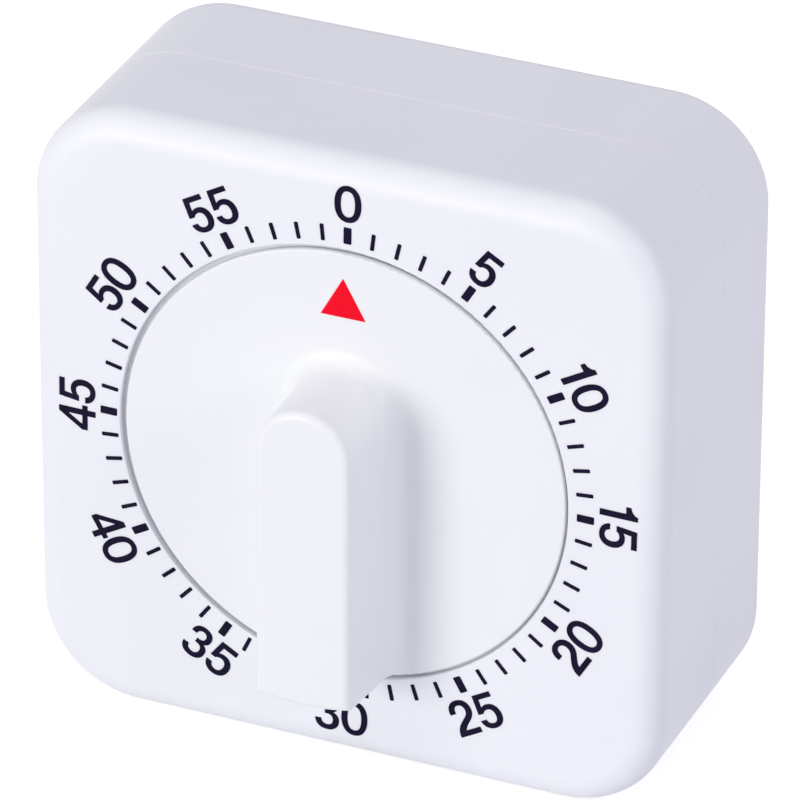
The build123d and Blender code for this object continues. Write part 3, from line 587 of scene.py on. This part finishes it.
# ---------- geometry nodes
class GeometryTree(TreeWriter):
    """Writes a Geometry Nodes tree, and turns the object that it runs on into a plain mesh."""

    def __init__(self, name: str, sizes: dict[str, float]) -> None:
        """Make a tree with a float input for each size.

        Args:
            name: The tree's name.
            sizes: The sizes by name, in metres or radians.
        """
        tree = bpy.data.node_groups.new(name, "GeometryNodeTree")
        tree.interface.new_socket("Geometry", in_out="INPUT", socket_type="NodeSocketGeometry")
        tree.interface.new_socket("Geometry", in_out="OUTPUT", socket_type="NodeSocketGeometry")
        self.sockets = {}
        for size in sizes:
            socket = tree.interface.new_socket(size, in_out="INPUT", socket_type="NodeSocketFloat")
            self.sockets[size] = socket.identifier
        self.sizes = sizes
        super().__init__(tree)
        self.given = self.add("NodeGroupInput")

    def join(self, *parts: bpy.types.NodeSocket) -> bpy.types.NodeSocket:
        """Join geometry.

        Args:
            *parts: The geometry sockets.

        Returns:
            The joined geometry.
        """
        joined = self.add("GeometryNodeJoinGeometry")
        for part in parts:
            self.tree.links.new(part, joined.inputs[0])
        return joined.outputs[0]

    def finish(self, geometry: bpy.types.NodeSocket, material: bpy.types.Material,
               name: str) -> bpy.types.Object:
        """End the tree, run it, and keep the result as a plain mesh.

        Args:
            geometry: The last geometry socket.
            material: The finish of the result.
            name: The name of the new piece.

        Returns:
            The finished piece.
        """
        real = self.add("GeometryNodeRealizeInstances", {"Geometry": geometry})
        painted = self.add("GeometryNodeSetMaterial", {"Geometry": real.outputs[0], "Material": material})
        self.add("NodeGroupOutput", {0: painted.outputs[0]})
        source = add_object(name + "_source", bpy.data.meshes.new(name + "_source"))
        modifier = source.modifiers.new(name, "NODES")
        modifier.node_group = self.tree
        for size, value in self.sizes.items():
            modifier[self.sockets[size]] = value
        depsgraph = bpy.context.evaluated_depsgraph_get()
        mesh = bpy.data.meshes.new_from_object(source.evaluated_get(depsgraph), depsgraph=depsgraph)
        mesh.name = name
        source.modifiers.clear()
        bpy.data.objects.remove(source)
        return add_object(name, mesh)


# ---------- printed scale
@dataclass(frozen=True)
class Glyph:
    """A numeral, drawn as its advance and its outlines, in hundredths of its height.

    An outline is a path of M, L and C commands with their points, as a letter cutter's drawing has.
    """

    height: ClassVar[float] = 100.0
    nearest: ClassVar[float] = 0.01
    advance: float
    outlines: tuple[str, ...]

    def contours(self, steps: int = 10) -> list[list[Point2]]:
        """Follow the outlines.

        Args:
            steps: Straight pieces in each curve.

        Returns:
            The corners of each closed contour.
        """
        found = []
        for path in self.outlines:
            words = path.split()
            points: list[Point2] = []
            place = 0
            while place < len(words):
                count = {"M": 1, "L": 1, "C": 3}[words[place]]
                numbers = [float(word) for word in words[place + 1:place + 1 + 2 * count]]
                given = list(zip(numbers[0::2], numbers[1::2]))
                if count == 1:
                    points.append(given[0])
                else:
                    start = points[-1]
                    for step in range(1, steps + 1):
                        t = step / steps
                        weights = ((1 - t) ** 3, 3 * t * (1 - t) ** 2, 3 * t * t * (1 - t), t ** 3)
                        corners = (start, *given)
                        points.append(tuple(sum(w * c[axis] for w, c in zip(weights, corners))
                                            for axis in (0, 1)))
                place += 1 + 2 * count
            if math.dist(points[0], points[-1]) < self.nearest:
                points.pop()
            found.append(points)
        return found


GLYPHS = {
    "0": Glyph(74.5, (
        "M 35.5 100 C 57 100 71 82 71 50 C 71 18 57 0 35.5 0 C 14 0 0 18 0 50 C 0 82 14 100 35.5 100",
        "M 35.5 85.5 C 22.5 85.5 16.6 73 16.6 50 C 16.6 27 22.5 14.5 35.5 14.5 "
        "C 48.5 14.5 54.4 27 54.4 50 C 54.4 73 48.5 85.5 35.5 85.5")),
    "1": Glyph(62.0, (
        "M 28 0 L 45 0 L 45 100 L 33 100 C 30 91 22 83.5 9 82 L 9 69 L 28 69 L 28 0",)),
    "2": Glyph(74.5, (
        "M 3 0 L 67 0 L 67 15 L 26 15 C 30 23 38 29 46 35 C 58 43.5 67.5 53 67.5 69.5 "
        "C 67.5 88 55 100 36 100 C 16 100 4.5 87 4.5 65 L 20.5 65 C 20.5 78 26 85.5 35.5 85.5 "
        "C 45 85.5 50.5 79 50.5 69.5 C 50.5 58 43 52.5 33 45.5 C 17 34 4 24 3 0",)),
    "3": Glyph(74.5, (
        "M 3 29 C 4 10 17 0 36 0 C 56 0 68 12 68 29.5 C 68 41 62 49 52 52.5 C 60 56 65 63 65 73 "
        "C 65 89 53.5 100 36 100 C 18 100 6.5 89 6 70.5 L 21.5 70.5 C 22 80 27 86 35.5 86 "
        "C 43.5 86 49 80.5 49 72.5 C 49 63.5 43.5 59 34 59 L 29.5 59 L 29.5 46.5 L 35 46.5 "
        "C 46 46.5 51.5 40 51.5 30 C 51.5 20 45 14 36 14 C 26 14 20 19.5 19.5 29 L 3 29",)),
    "4": Glyph(74.5, (
        "M 42 0 L 58 0 L 58 22 L 70 22 L 70 36 L 58 36 L 58 100 L 43 100 L 1 37 L 1 22 L 42 22 L 42 0",
        "M 42 36 L 16 36 L 42 76 L 42 36")),
    "5": Glyph(74.5, (
        "M 12.5 99 L 64 99 L 64 84.5 L 25.5 84.5 L 22 62 C 26.5 65.5 32 67.5 38.5 67.5 "
        "C 56.5 67.5 68.5 54 68.5 34.5 C 68.5 14 55 0 35.5 0 C 17.5 0 4.5 10.5 3 28 L 19.5 28 "
        "C 20.5 19 26.5 14 35.5 14 C 45.5 14 51.5 22 51.5 34 C 51.5 46 45.5 53.5 36 53.5 "
        "C 29.5 53.5 24 51 20.5 45.5 L 5.5 45.5 L 12.5 99",)),
}


@dataclass
class Scale:
    """The scale printed round the dial: sixty marks and twelve numerals. Sizes in millimetres."""

    timer: Timer
    minutes: int = 60
    numeral_every: int = 5
    turn_degrees: float = 0.7
    right: float = 0.2
    up: float = 0.17
    ink_height: float = 0.06
    inner_radius: float = 25.45
    mark_length: float = 1.85
    minute_width: float = 0.42
    five_width: float = 0.84
    corner: float = 0.1
    corner_steps: int = 4
    weld: float = 0.0001
    numeral_height: float = 4.12
    numeral_radius: float = 29.95
    crease_degrees: float = 35.0
    upright_from: int = 20
    upright_to: int = 40

    def build(self) -> None:
        """Build the marks and the numerals."""
        ink = PrintedInk("scale_ink", srgb(10, 5, 36), roughness=0.6,
                         worn=srgb(18, 11, 44)).build(self.timer.effects)
        self.timer.stand_for(self._marks(ink), "case", "scale_ink", "minute_marks", "five_minute_marks")
        self.timer.stand_for(self._numerals(ink), "case", "scale_ink")

    def _bars(self, write: GeometryTree, width: str, selected: bpy.types.NodeSocket,
              ring: bpy.types.NodeSocket, turn: bpy.types.NodeSocket) -> bpy.types.NodeSocket:
        """Instance one kind of ink bar on the chosen points of the ring.

        Args:
            write: The scale's tree.
            width: The tree's input that holds the bar's width.
            selected: One for each point that takes a bar.
            ring: The points.
            turn: Their turns.

        Returns:
            The bars.
        """
        size = write.given.outputs
        outline = write.add("GeometryNodeCurvePrimitiveQuadrilateral",
                            {"Width": size[width], "Height": size["Length"]})
        rounded = write.add("GeometryNodeFilletCurve", {"Curve": outline.outputs[0], "Radius": size["Corner"],
                                                        "Count": self.corner_steps}, mode="POLY")
        face = write.add("GeometryNodeFillCurve", {"Curve": rounded.outputs[0]}, mode="NGONS")
        raised = write.add("GeometryNodeExtrudeMesh", {"Mesh": face.outputs[0], "Offset Scale": size["Ink"],
                                                       "Individual": False}, mode="FACES")
        base = write.add("GeometryNodeFlipFaces", {"Mesh": face.outputs[0]})
        slab = write.join(raised.outputs[0], base.outputs[0])
        closed = write.add("GeometryNodeMergeByDistance", {"Geometry": slab, "Distance": self.weld * MM})
        bars = write.add("GeometryNodeInstanceOnPoints", {"Points": ring, "Selection": selected,
                                                          "Instance": closed.outputs[0], "Rotation": turn})
        return bars.outputs[0]

    def _marks(self, ink: bpy.types.Material) -> bpy.types.Object:
        """Set the sixty marks round the dial with Geometry Nodes.

        Args:
            ink: Their finish.

        Returns:
            The marks as one piece.
        """
        write = GeometryTree("minute_scale", {
            "Radius": (self.inner_radius + self.mark_length / 2) * MM, "Length": self.mark_length * MM,
            "Minute Width": self.minute_width * MM, "Five Width": self.five_width * MM,
            "Corner": self.corner * MM, "Ink": self.ink_height * MM,
            "Turn": math.radians(self.turn_degrees)})
        index = write.add("GeometryNodeInputIndex").outputs[0]
        angle = write.math("MULTIPLY_ADD", index, 2 * math.pi / self.minutes, write.given.outputs["Turn"])
        radius = write.given.outputs["Radius"]
        place = write.add("ShaderNodeCombineXYZ", {
            0: write.math("MULTIPLY", write.math("SINE", angle), radius),
            1: write.math("MULTIPLY", write.math("COSINE", angle), radius)}).outputs[0]
        ring = write.add("GeometryNodePoints", {"Count": self.minutes, "Position": place}).outputs[0]
        turn = write.add("ShaderNodeCombineXYZ", {2: write.math("MULTIPLY", angle, -1.0)}).outputs[0]
        fifth = write.math("LESS_THAN", write.math("MODULO", index, float(self.numeral_every)), 0.5)
        other = write.math("SUBTRACT", 1.0, fifth)
        marks = write.join(self._bars(write, "Minute Width", other, ring, turn),
                           self._bars(write, "Five Width", fifth, ring, turn))
        piece = write.finish(marks, ink, "minute_scale")
        piece.data.transform(self._on_face())
        return piece

    def _on_face(self) -> Matrix:
        """Stand a flat drawing, x right and y up, on the case's face, a little off the dial's axis."""
        middle = self.timer.axis + Vector((self.right, 0.0, self.up)) * MM
        return Matrix.Translation(middle) @ Matrix.Rotation(math.radians(90), 4, "X")

    def _numerals(self, ink: bpy.types.Material) -> bpy.types.Object:
        """Cut the twelve numerals and set them round the marks.

        Args:
            ink: Their finish.

        Returns:
            The numerals as one piece.
        """
        work = bmesh.new()
        for minute in range(0, self.minutes, self.numeral_every):
            work.from_mesh(self._numeral(minute))
        mesh = take_mesh("numerals", work)
        mesh.materials.append(ink)
        mesh.transform(self._on_face())
        smooth_by_angle(mesh, self.crease_degrees)
        return add_object("numerals", mesh)

    def _numeral(self, minute: int) -> bpy.types.Mesh:
        """Make one number as a closed slab of ink in its place on the flat drawing.

        Args:
            minute: The number.

        Returns:
            Its mesh, x right and y up.
        """
        unit = self.numeral_height * MM / Glyph.height
        drawing = bpy.data.curves.new("numeral", "CURVE")
        drawing.dimensions = "2D"
        drawing.fill_mode = "BOTH"
        drawing.extrude = self.ink_height * MM / 2
        start = 0.0
        lowest, highest = math.inf, -math.inf
        for letter in str(minute):
            for contour in GLYPHS[letter].contours():
                spline = drawing.splines.new("POLY")
                spline.points.add(len(contour) - 1)
                spline.use_cyclic_u = True
                for point, (x, y) in zip(spline.points, contour):
                    point.co = ((start + x) * unit, (y - Glyph.height / 2) * unit, 0.0, 1.0)
                    lowest, highest = min(lowest, point.co.x), max(highest, point.co.x)
            start += GLYPHS[letter].advance
        source = bpy.data.objects.new("numeral", drawing)
        mesh = bpy.data.meshes.new_from_object(source)
        bpy.data.objects.remove(source)
        bearing = 2 * math.pi * minute / self.minutes + math.radians(self.turn_degrees)
        inward = self.upright_from <= minute <= self.upright_to
        turn = -bearing + (math.pi if inward else 0.0)
        centre = Matrix.Translation((-(lowest + highest) / 2, 0.0, self.ink_height * MM / 2))
        place = Matrix.Translation((math.sin(bearing) * self.numeral_radius * MM,
                                    math.cos(bearing) * self.numeral_radius * MM, 0.0))
        mesh.transform(place @ Matrix.Rotation(turn, 4, "Z") @ centre)
        return mesh


# ---------- case and its screws
@dataclass
class Case:
    """The two moulded halves and the four screws at the back. Sizes in millimetres."""

    timer: Timer
    screw_inset: float = 6.8
    head_radius: float = 2.2
    head_height: float = 1.6
    shank_radius: float = 1.25
    shank_length: float = 10.0
    thread_pitch: float = 1.1
    thread_depth: float = 0.3
    crest_from_share: float = 0.42
    crest_to_share: float = 0.56
    tip_radius_share: float = 0.55
    tip_length: float = 0.5
    first_thread: float = 1.3
    neck_round: float = 0.15
    rim_round: float = 0.08
    rim_height_share: float = 0.45
    dome_flatness: float = 0.6
    dome_steps: int = 8
    cross_width: float = 0.7
    cross_length: float = 3.5
    cross_depth: float = 0.95
    cross_foot_width_share: float = 0.7
    cross_foot_length_share: float = 0.35
    cutter_rise: float = 0.5
    segments: int = 48
    weld: float = 0.0001
    crease_degrees: float = 38.0
    largest_turn: float = 6.28
    seed: int = 7

    def build(self) -> None:
        """Dress the halves and build the screws."""
        self.timer.dress(MouldedPlastic("case_plastic", srgb(238, 239, 243), roughness=0.42,
                                        shade=srgb(233, 234, 240)), "front_case", "rear_cover")
        zinc = RolledMetal("zinc_screw", srgb(176, 178, 184), roughness=0.34, tarnish=srgb(120, 120, 122),
                           grain=0.0002, along=(1.0, 1.0, 1.0)).build(self.timer.effects)
        self.timer.stand_for(self._screws(zinc), "case", "zinc_screw", "case_screws")

    def _profile(self) -> list[Point2]:
        """Draw half a section of a screw.

        Returns:
            Its corners from the tip to the middle of the head, as radius and height.
        """
        root = self.shank_radius - self.thread_depth
        points: list[Point2] = [(0.0, -self.shank_length),
                                (root * self.tip_radius_share, -self.shank_length + self.tip_length)]
        height = -self.shank_length + self.first_thread
        while height < -self.thread_pitch:
            points += [(root, height),
                       (self.shank_radius, height + self.thread_pitch * self.crest_from_share),
                       (self.shank_radius, height + self.thread_pitch * self.crest_to_share)]
            height += self.thread_pitch
        points += [(root, height), (root, -self.neck_round), (root + self.neck_round, 0.0),
                   (self.head_radius - self.rim_round, 0.0), (self.head_radius, self.rim_round)]
        rim = self.head_height * self.rim_height_share
        for step in range(self.dome_steps + 1):
            turn = step / self.dome_steps * math.pi / 2
            points.append((self.head_radius * math.cos(turn) ** self.dome_flatness,
                           rim + (self.head_height - rim) * math.sin(turn)))
        points[-1] = (0.0, self.head_height)
        return points

    def _screw(self) -> bpy.types.Mesh:
        """Turn one screw about its own axis and cut its cross recess.

        Returns:
            Its mesh in metres. It stands along z, head up.
        """
        work = bmesh.new()
        profile = self._profile()
        corners = [work.verts.new((radius, 0.0, height)) for radius, height in profile]
        edges = [work.edges.new(pair) for pair in zip(corners, corners[1:])]
        bmesh.ops.spin(work, geom=corners + edges, cent=(0, 0, 0), axis=(0, 0, 1), angle=2 * math.pi,
                       steps=self.segments, use_merge=True)
        bmesh.ops.remove_doubles(work, verts=work.verts, dist=self.weld)
        bmesh.ops.recalc_face_normals(work, faces=work.faces)
        screw = add_object("screw_body", take_mesh("screw_body", work))
        cutters = [self._cutter(turn) for turn in (0.0, math.pi / 2)]
        for cutter in cutters:
            boolean = screw.modifiers.new("cross", "BOOLEAN")
            boolean.operation = "DIFFERENCE"
            boolean.solver = "EXACT"
            boolean.object = cutter
        depsgraph = bpy.context.evaluated_depsgraph_get()
        mesh = bpy.data.meshes.new_from_object(screw.evaluated_get(depsgraph), depsgraph=depsgraph)
        screw.modifiers.clear()
        for left in (screw, *cutters):
            bpy.data.objects.remove(left)
        mesh.transform(Matrix.Diagonal((MM, MM, MM, 1.0)))
        smooth_by_angle(mesh, self.crease_degrees)
        return mesh

    def _cutter(self, turn: float) -> bpy.types.Object:
        """Make the block that cuts one arm of the cross recess.

        Args:
            turn: The arm's turn about the screw's axis, in radians.

        Returns:
            The block, narrower at its foot.
        """
        cut = bmesh.new()
        bmesh.ops.create_cube(cut, size=1.0)
        for vert in cut.verts:
            low = vert.co.z < 0
            length = self.cross_length * (self.cross_foot_length_share if low else 1.0)
            width = self.cross_width * (self.cross_foot_width_share if low else 1.0)
            height = self.head_height + (-self.cross_depth if low else self.cutter_rise)
            vert.co = Vector((vert.co.x * length, vert.co.y * width, height))
        mesh = take_mesh("cross", cut)
        mesh.transform(Matrix.Rotation(turn, 4, "Z"))
        return add_object("cross", mesh)

    def _screws(self, zinc: bpy.types.Material) -> bpy.types.Object:
        """Set the four screws in the rear cover with Geometry Nodes.

        Args:
            zinc: Their finish.

        Returns:
            The screws as one piece.
        """
        low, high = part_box("front_case")
        head_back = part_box("case_screws")[1].y
        model = add_object("screw_model", self._screw())
        write = GeometryTree("case_screws_set", {
            "Across": high.x - low.x - 2 * self.screw_inset * MM,
            "Up": high.z - low.z - 2 * self.screw_inset * MM})
        grid = write.add("GeometryNodeMeshGrid", {"Size X": write.given.outputs["Across"],
                                                  "Size Y": write.given.outputs["Up"],
                                                  "Vertices X": 2, "Vertices Y": 2})
        pattern = write.add("GeometryNodeObjectInfo", {"Object": model})
        turns = {"Min": (0, 0, 0), "Max": (0, 0, self.largest_turn), "Seed": self.seed}
        turn = write.add("FunctionNodeRandomValue", turns, data_type="FLOAT_VECTOR").outputs[0]
        screws = write.add("GeometryNodeInstanceOnPoints", {"Points": grid.outputs[0],
                                                            "Instance": pattern.outputs["Geometry"],
                                                            "Rotation": turn})
        piece = write.finish(screws.outputs[0], zinc, "rear_screws")
        bpy.data.objects.remove(model)
        place = Vector((0.0, head_back - self.head_height * MM, (low.z + high.z) / 2))
        piece.data.transform(Matrix.Translation(place) @ Matrix.Rotation(math.radians(-90), 4, "X"))
        return piece


# ---------- dial
@dataclass
class Dial:
    """The dial with its grip, and the printed triangle."""

    timer: Timer

    def build(self) -> None:
        """Dress the dial and its triangle."""
        self.timer.dress(MouldedPlastic("dial_plastic", srgb(239, 240, 242), roughness=0.4,
                                        shade=srgb(235, 236, 240), marks=0.7), "dial_knob")
        self.timer.dress(PrintedInk("pointer_red", srgb(246, 0, 34), roughness=0.5,
                                    worn=srgb(238, 0, 38)), "pointer_mark")


# ---------- movement
@dataclass
class Movement:
    """Plates, train, barrel, escapement and alarm inside the case."""

    timer: Timer
    brass: Rgba = srgb(205, 170, 96)
    brass_tarnish: Rgba = srgb(150, 112, 60)
    brass_roughness: float = 0.26
    steel: Rgba = srgb(168, 170, 174)
    steel_tarnish: Rgba = srgb(104, 102, 100)
    steel_roughness: float = 0.22
    bell_metal: Rgba = srgb(196, 198, 202)
    bell_tarnish: Rgba = srgb(140, 138, 136)
    bell_roughness: float = 0.16

    def build(self) -> None:
        """Dress every piece of the movement."""
        self._plates()
        for node in ("main_wheel", "second_wheel", "third_wheel", "escape_wheel", "alarm_star", "alarm_cam",
                     "spring_barrel", "barrel_cover"):
            self._turned(node, self.brass, self.brass_tarnish, self.brass_roughness)
        for node in ("main_arbor", "second_pinion", "third_pinion", "escape_pinion", "pallet_arbor",
                     "alarm_pinion", "hammer_arbor", "ratchet_wheel", "arbor_washer", "hammer_head",
                     "bell_post", "bell_screw", "release_stud"):
            self._turned(node, self.steel, self.steel_tarnish, self.steel_roughness)
        self._turned("bell", self.bell_metal, self.bell_tarnish, self.bell_roughness)
        self.timer.dress(RolledMetal("spring_steel", srgb(84, 92, 112), roughness=0.24,
                                     tarnish=srgb(60, 60, 70), along=(0.2, 1.0, 0.2)),
                         "mainspring", "click_spring", "release_spring")

    def _plates(self) -> None:
        """Dress the sheet-metal pieces and the small turned ones."""
        self.timer.dress(RolledMetal("plate_steel", srgb(182, 184, 186), roughness=0.32,
                                     tarnish=srgb(132, 130, 126)),
                         "front_plate", "rear_plate", "release_lever", "hammer_arm", "hammer_verge",
                         "pallet_lever", "balance_bar", "ratchet_click")
        self.timer.dress(RolledMetal("turned_steel", srgb(170, 172, 176), roughness=0.28,
                                     tarnish=srgb(120, 118, 116), along=(1.0, 0.05, 1.0)),
                         "plate_pillars", "pillar_nuts", "movement_screws", "pallet_pins")

    def _turned(self, node: str, colour: Rgba, tarnish: Rgba, roughness: float) -> None:
        """Dress one turned piece with rings about its own middle.

        Args:
            node: The solid's name.
            colour: Its clean colour.
            tarnish: Its tarnished colour.
            roughness: Its clean roughness.
        """
        self.timer.dress(TurnedMetal(node + "_metal", colour, roughness, tarnish=tarnish,
                                     centre=self.timer.centre_of(node)), node)


# ---------- studio
def direction(azimuth: float, elevation: float) -> Vector:
    """Point away from the dial, at degrees to the right of its front and above it."""
    across, up = math.radians(azimuth), math.radians(elevation)
    return Vector((math.sin(across) * math.cos(up), -math.cos(across) * math.cos(up), math.sin(up)))


@dataclass(frozen=True)
class Lamp:
    """A soft square lamp that shines at the timer. Lengths in metres."""

    name: str
    azimuth: float
    elevation: float
    strength: float
    distance: float = 1.2
    size: float = 0.45
    colour: tuple[float, float, float] = (1.0, 1.0, 0.95)

    def build(self, target: Vector) -> None:
        """Hang the lamp and point it at the target.

        Args:
            target: The place that it shines at.
        """
        data = bpy.data.lights.new(self.name, "AREA")
        data.shape = "SQUARE"
        data.size = self.size
        data.energy = self.strength
        data.color = self.colour
        lamp = bpy.data.objects.new(self.name, data)
        bpy.context.scene.collection.objects.link(lamp)
        away = direction(self.azimuth, self.elevation)
        lamp.location = target + away * self.distance
        lamp.rotation_euler = away.to_track_quat("Z", "Y").to_euler()


@dataclass
class Studio:
    """Pale floor, soft light and the camera. Lengths in metres, and the camera's in millimetres."""

    timer: Timer
    azimuth: float = 23.114
    elevation: float = 29.388
    roll: float = 0.223
    focal_pixels: float = 8045.7
    picture_pixels: float = 800.0
    distance: float = 816.51
    aim_right: float = 5.803
    aim_up: float = 6.644
    sensor_width: float = 36.0
    clip_start: float = 0.01
    clip_end: float = 20.0
    ambient: float = 0.49
    ambient_colour: Rgba = srgb(236, 235, 255)
    floor_radius: float = 4.0
    floor_segments: int = 96
    floor_colour: Rgba = srgb(232, 233, 238)
    shadow_share: float = 0.4
    shadow_white: Rgba = (2.0, 2.0, 2.0, 1.0)
    lamps: tuple[Lamp, ...] = (
        Lamp("front_lamp", azimuth=-27.0, elevation=8.0, strength=6.1, colour=(1.0, 1.0, 0.91)),
        Lamp("left_lamp", azimuth=-40.0, elevation=40.0, strength=1.4, colour=(1.0, 1.0, 0.91)),
        Lamp("right_lamp", azimuth=70.0, elevation=28.0, strength=2.9, colour=(1.0, 0.98, 0.95)),
        Lamp("top_lamp", azimuth=0.0, elevation=88.0, strength=1.95),
    )

    def build(self) -> None:
        """Build the world, the floor, the lamps and the camera."""
        self._world()
        self._floor()
        for lamp in self.lamps:
            lamp.build(self.timer.axis)
        self._camera()
        bpy.context.scene.view_settings.view_transform = "Standard"

    @staticmethod
    def _by_ray(write: TreeWriter, lights: bpy.types.Node, shows: bpy.types.Node) -> bpy.types.NodeSocket:
        """Choose a shader by the kind of ray.

        Args:
            write: The tree of the floor or the world.
            lights: The shader for the rays that light the timer.
            shows: The shader for camera, mirror and glass rays.

        Returns:
            The chosen shader.
        """
        path = write.add("ShaderNodeLightPath").outputs
        mirror = write.math("MAXIMUM", path["Is Glossy Ray"], path["Is Transmission Ray"])
        seen = write.math("MAXIMUM", path["Is Camera Ray"], mirror)
        both = write.add("ShaderNodeMixShader", {0: seen, 1: lights.outputs[0], 2: shows.outputs[0]})
        return both.outputs[0]

    def _world(self) -> None:
        """Plain pale light from all round, seen as white."""
        world = bpy.data.worlds.new("studio")
        world.use_nodes = True
        bpy.context.scene.world = world
        write = TreeWriter(world.node_tree)
        light = write.add("ShaderNodeBackground", {"Color": self.ambient_colour, "Strength": self.ambient})
        white = write.add("ShaderNodeBackground", {"Color": (1, 1, 1, 1), "Strength": 1.0})
        write.add("ShaderNodeOutputWorld", {"Surface": self._by_ray(write, light, white)})

    def _floor(self) -> None:
        """Round white floor that keeps the timer's shadow."""
        work = bmesh.new()
        bmesh.ops.create_circle(work, cap_ends=True, segments=self.floor_segments, radius=self.floor_radius)
        mesh = take_mesh("floor", work)
        floor = add_object("floor", mesh)
        material = bpy.data.materials.new("floor_white")
        material.use_nodes = True
        write = TreeWriter(material.node_tree)
        plain = write.add("ShaderNodeBsdfDiffuse", {"Color": self.floor_colour})
        white = write.add("ShaderNodeEmission", {"Color": (1, 1, 1, 1), "Strength": 1.0})
        shadowed = write.add("ShaderNodeBsdfDiffuse", {"Color": self.shadow_white})
        shown = write.add("ShaderNodeMixShader", {0: self.shadow_share, 1: white.outputs[0],
                                                  2: shadowed.outputs[0]})
        write.add("ShaderNodeOutputMaterial", {"Surface": self._by_ray(write, plain, shown)})
        mesh.materials.append(material)
        floor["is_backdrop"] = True

    def _camera(self) -> None:
        """Long lens from above right, aimed beside the dial's middle."""
        data = bpy.data.cameras.new("camera")
        data.sensor_width = self.sensor_width
        data.lens = self.focal_pixels / self.picture_pixels * data.sensor_width
        data.clip_start = self.clip_start
        data.clip_end = self.clip_end
        camera = bpy.data.objects.new("camera", data)
        bpy.context.scene.collection.objects.link(camera)
        back = direction(self.azimuth, self.elevation)
        level = Vector((-back.y, back.x, 0.0)).normalized()
        upright = back.cross(level)
        roll = math.radians(self.roll)
        right = level * math.cos(roll) + upright * math.sin(roll)
        up = upright * math.cos(roll) - level * math.sin(roll)
        place = self.timer.axis + (back * self.distance + right * self.aim_right + up * self.aim_up) * MM
        axes = Matrix((right, up, back)).transposed().to_4x4()
        camera.matrix_world = Matrix.Translation(place) @ axes
        bpy.context.scene.camera = camera


def clear_scene() -> None:
    """Remove whatever the start-up file left in the scene."""
    for piece in list(bpy.data.objects):
        bpy.data.objects.remove(piece)


def corners() -> list[list[float]]:
    """Lowest and highest corner of what is shown, as plain lists."""
    return [list(corner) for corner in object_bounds()]


def main() -> None:
    """Build the timer's looks and its studio."""
    logging.basicConfig(level=logging.INFO, format="%(name)s %(message)s")
    clear_scene()
    timer = Timer()
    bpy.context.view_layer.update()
    Case(timer).build()
    Dial(timer).build()
    Scale(timer).build()
    Movement(timer).build()
    Studio(timer).build()


if __name__ == "__main__":
    main()
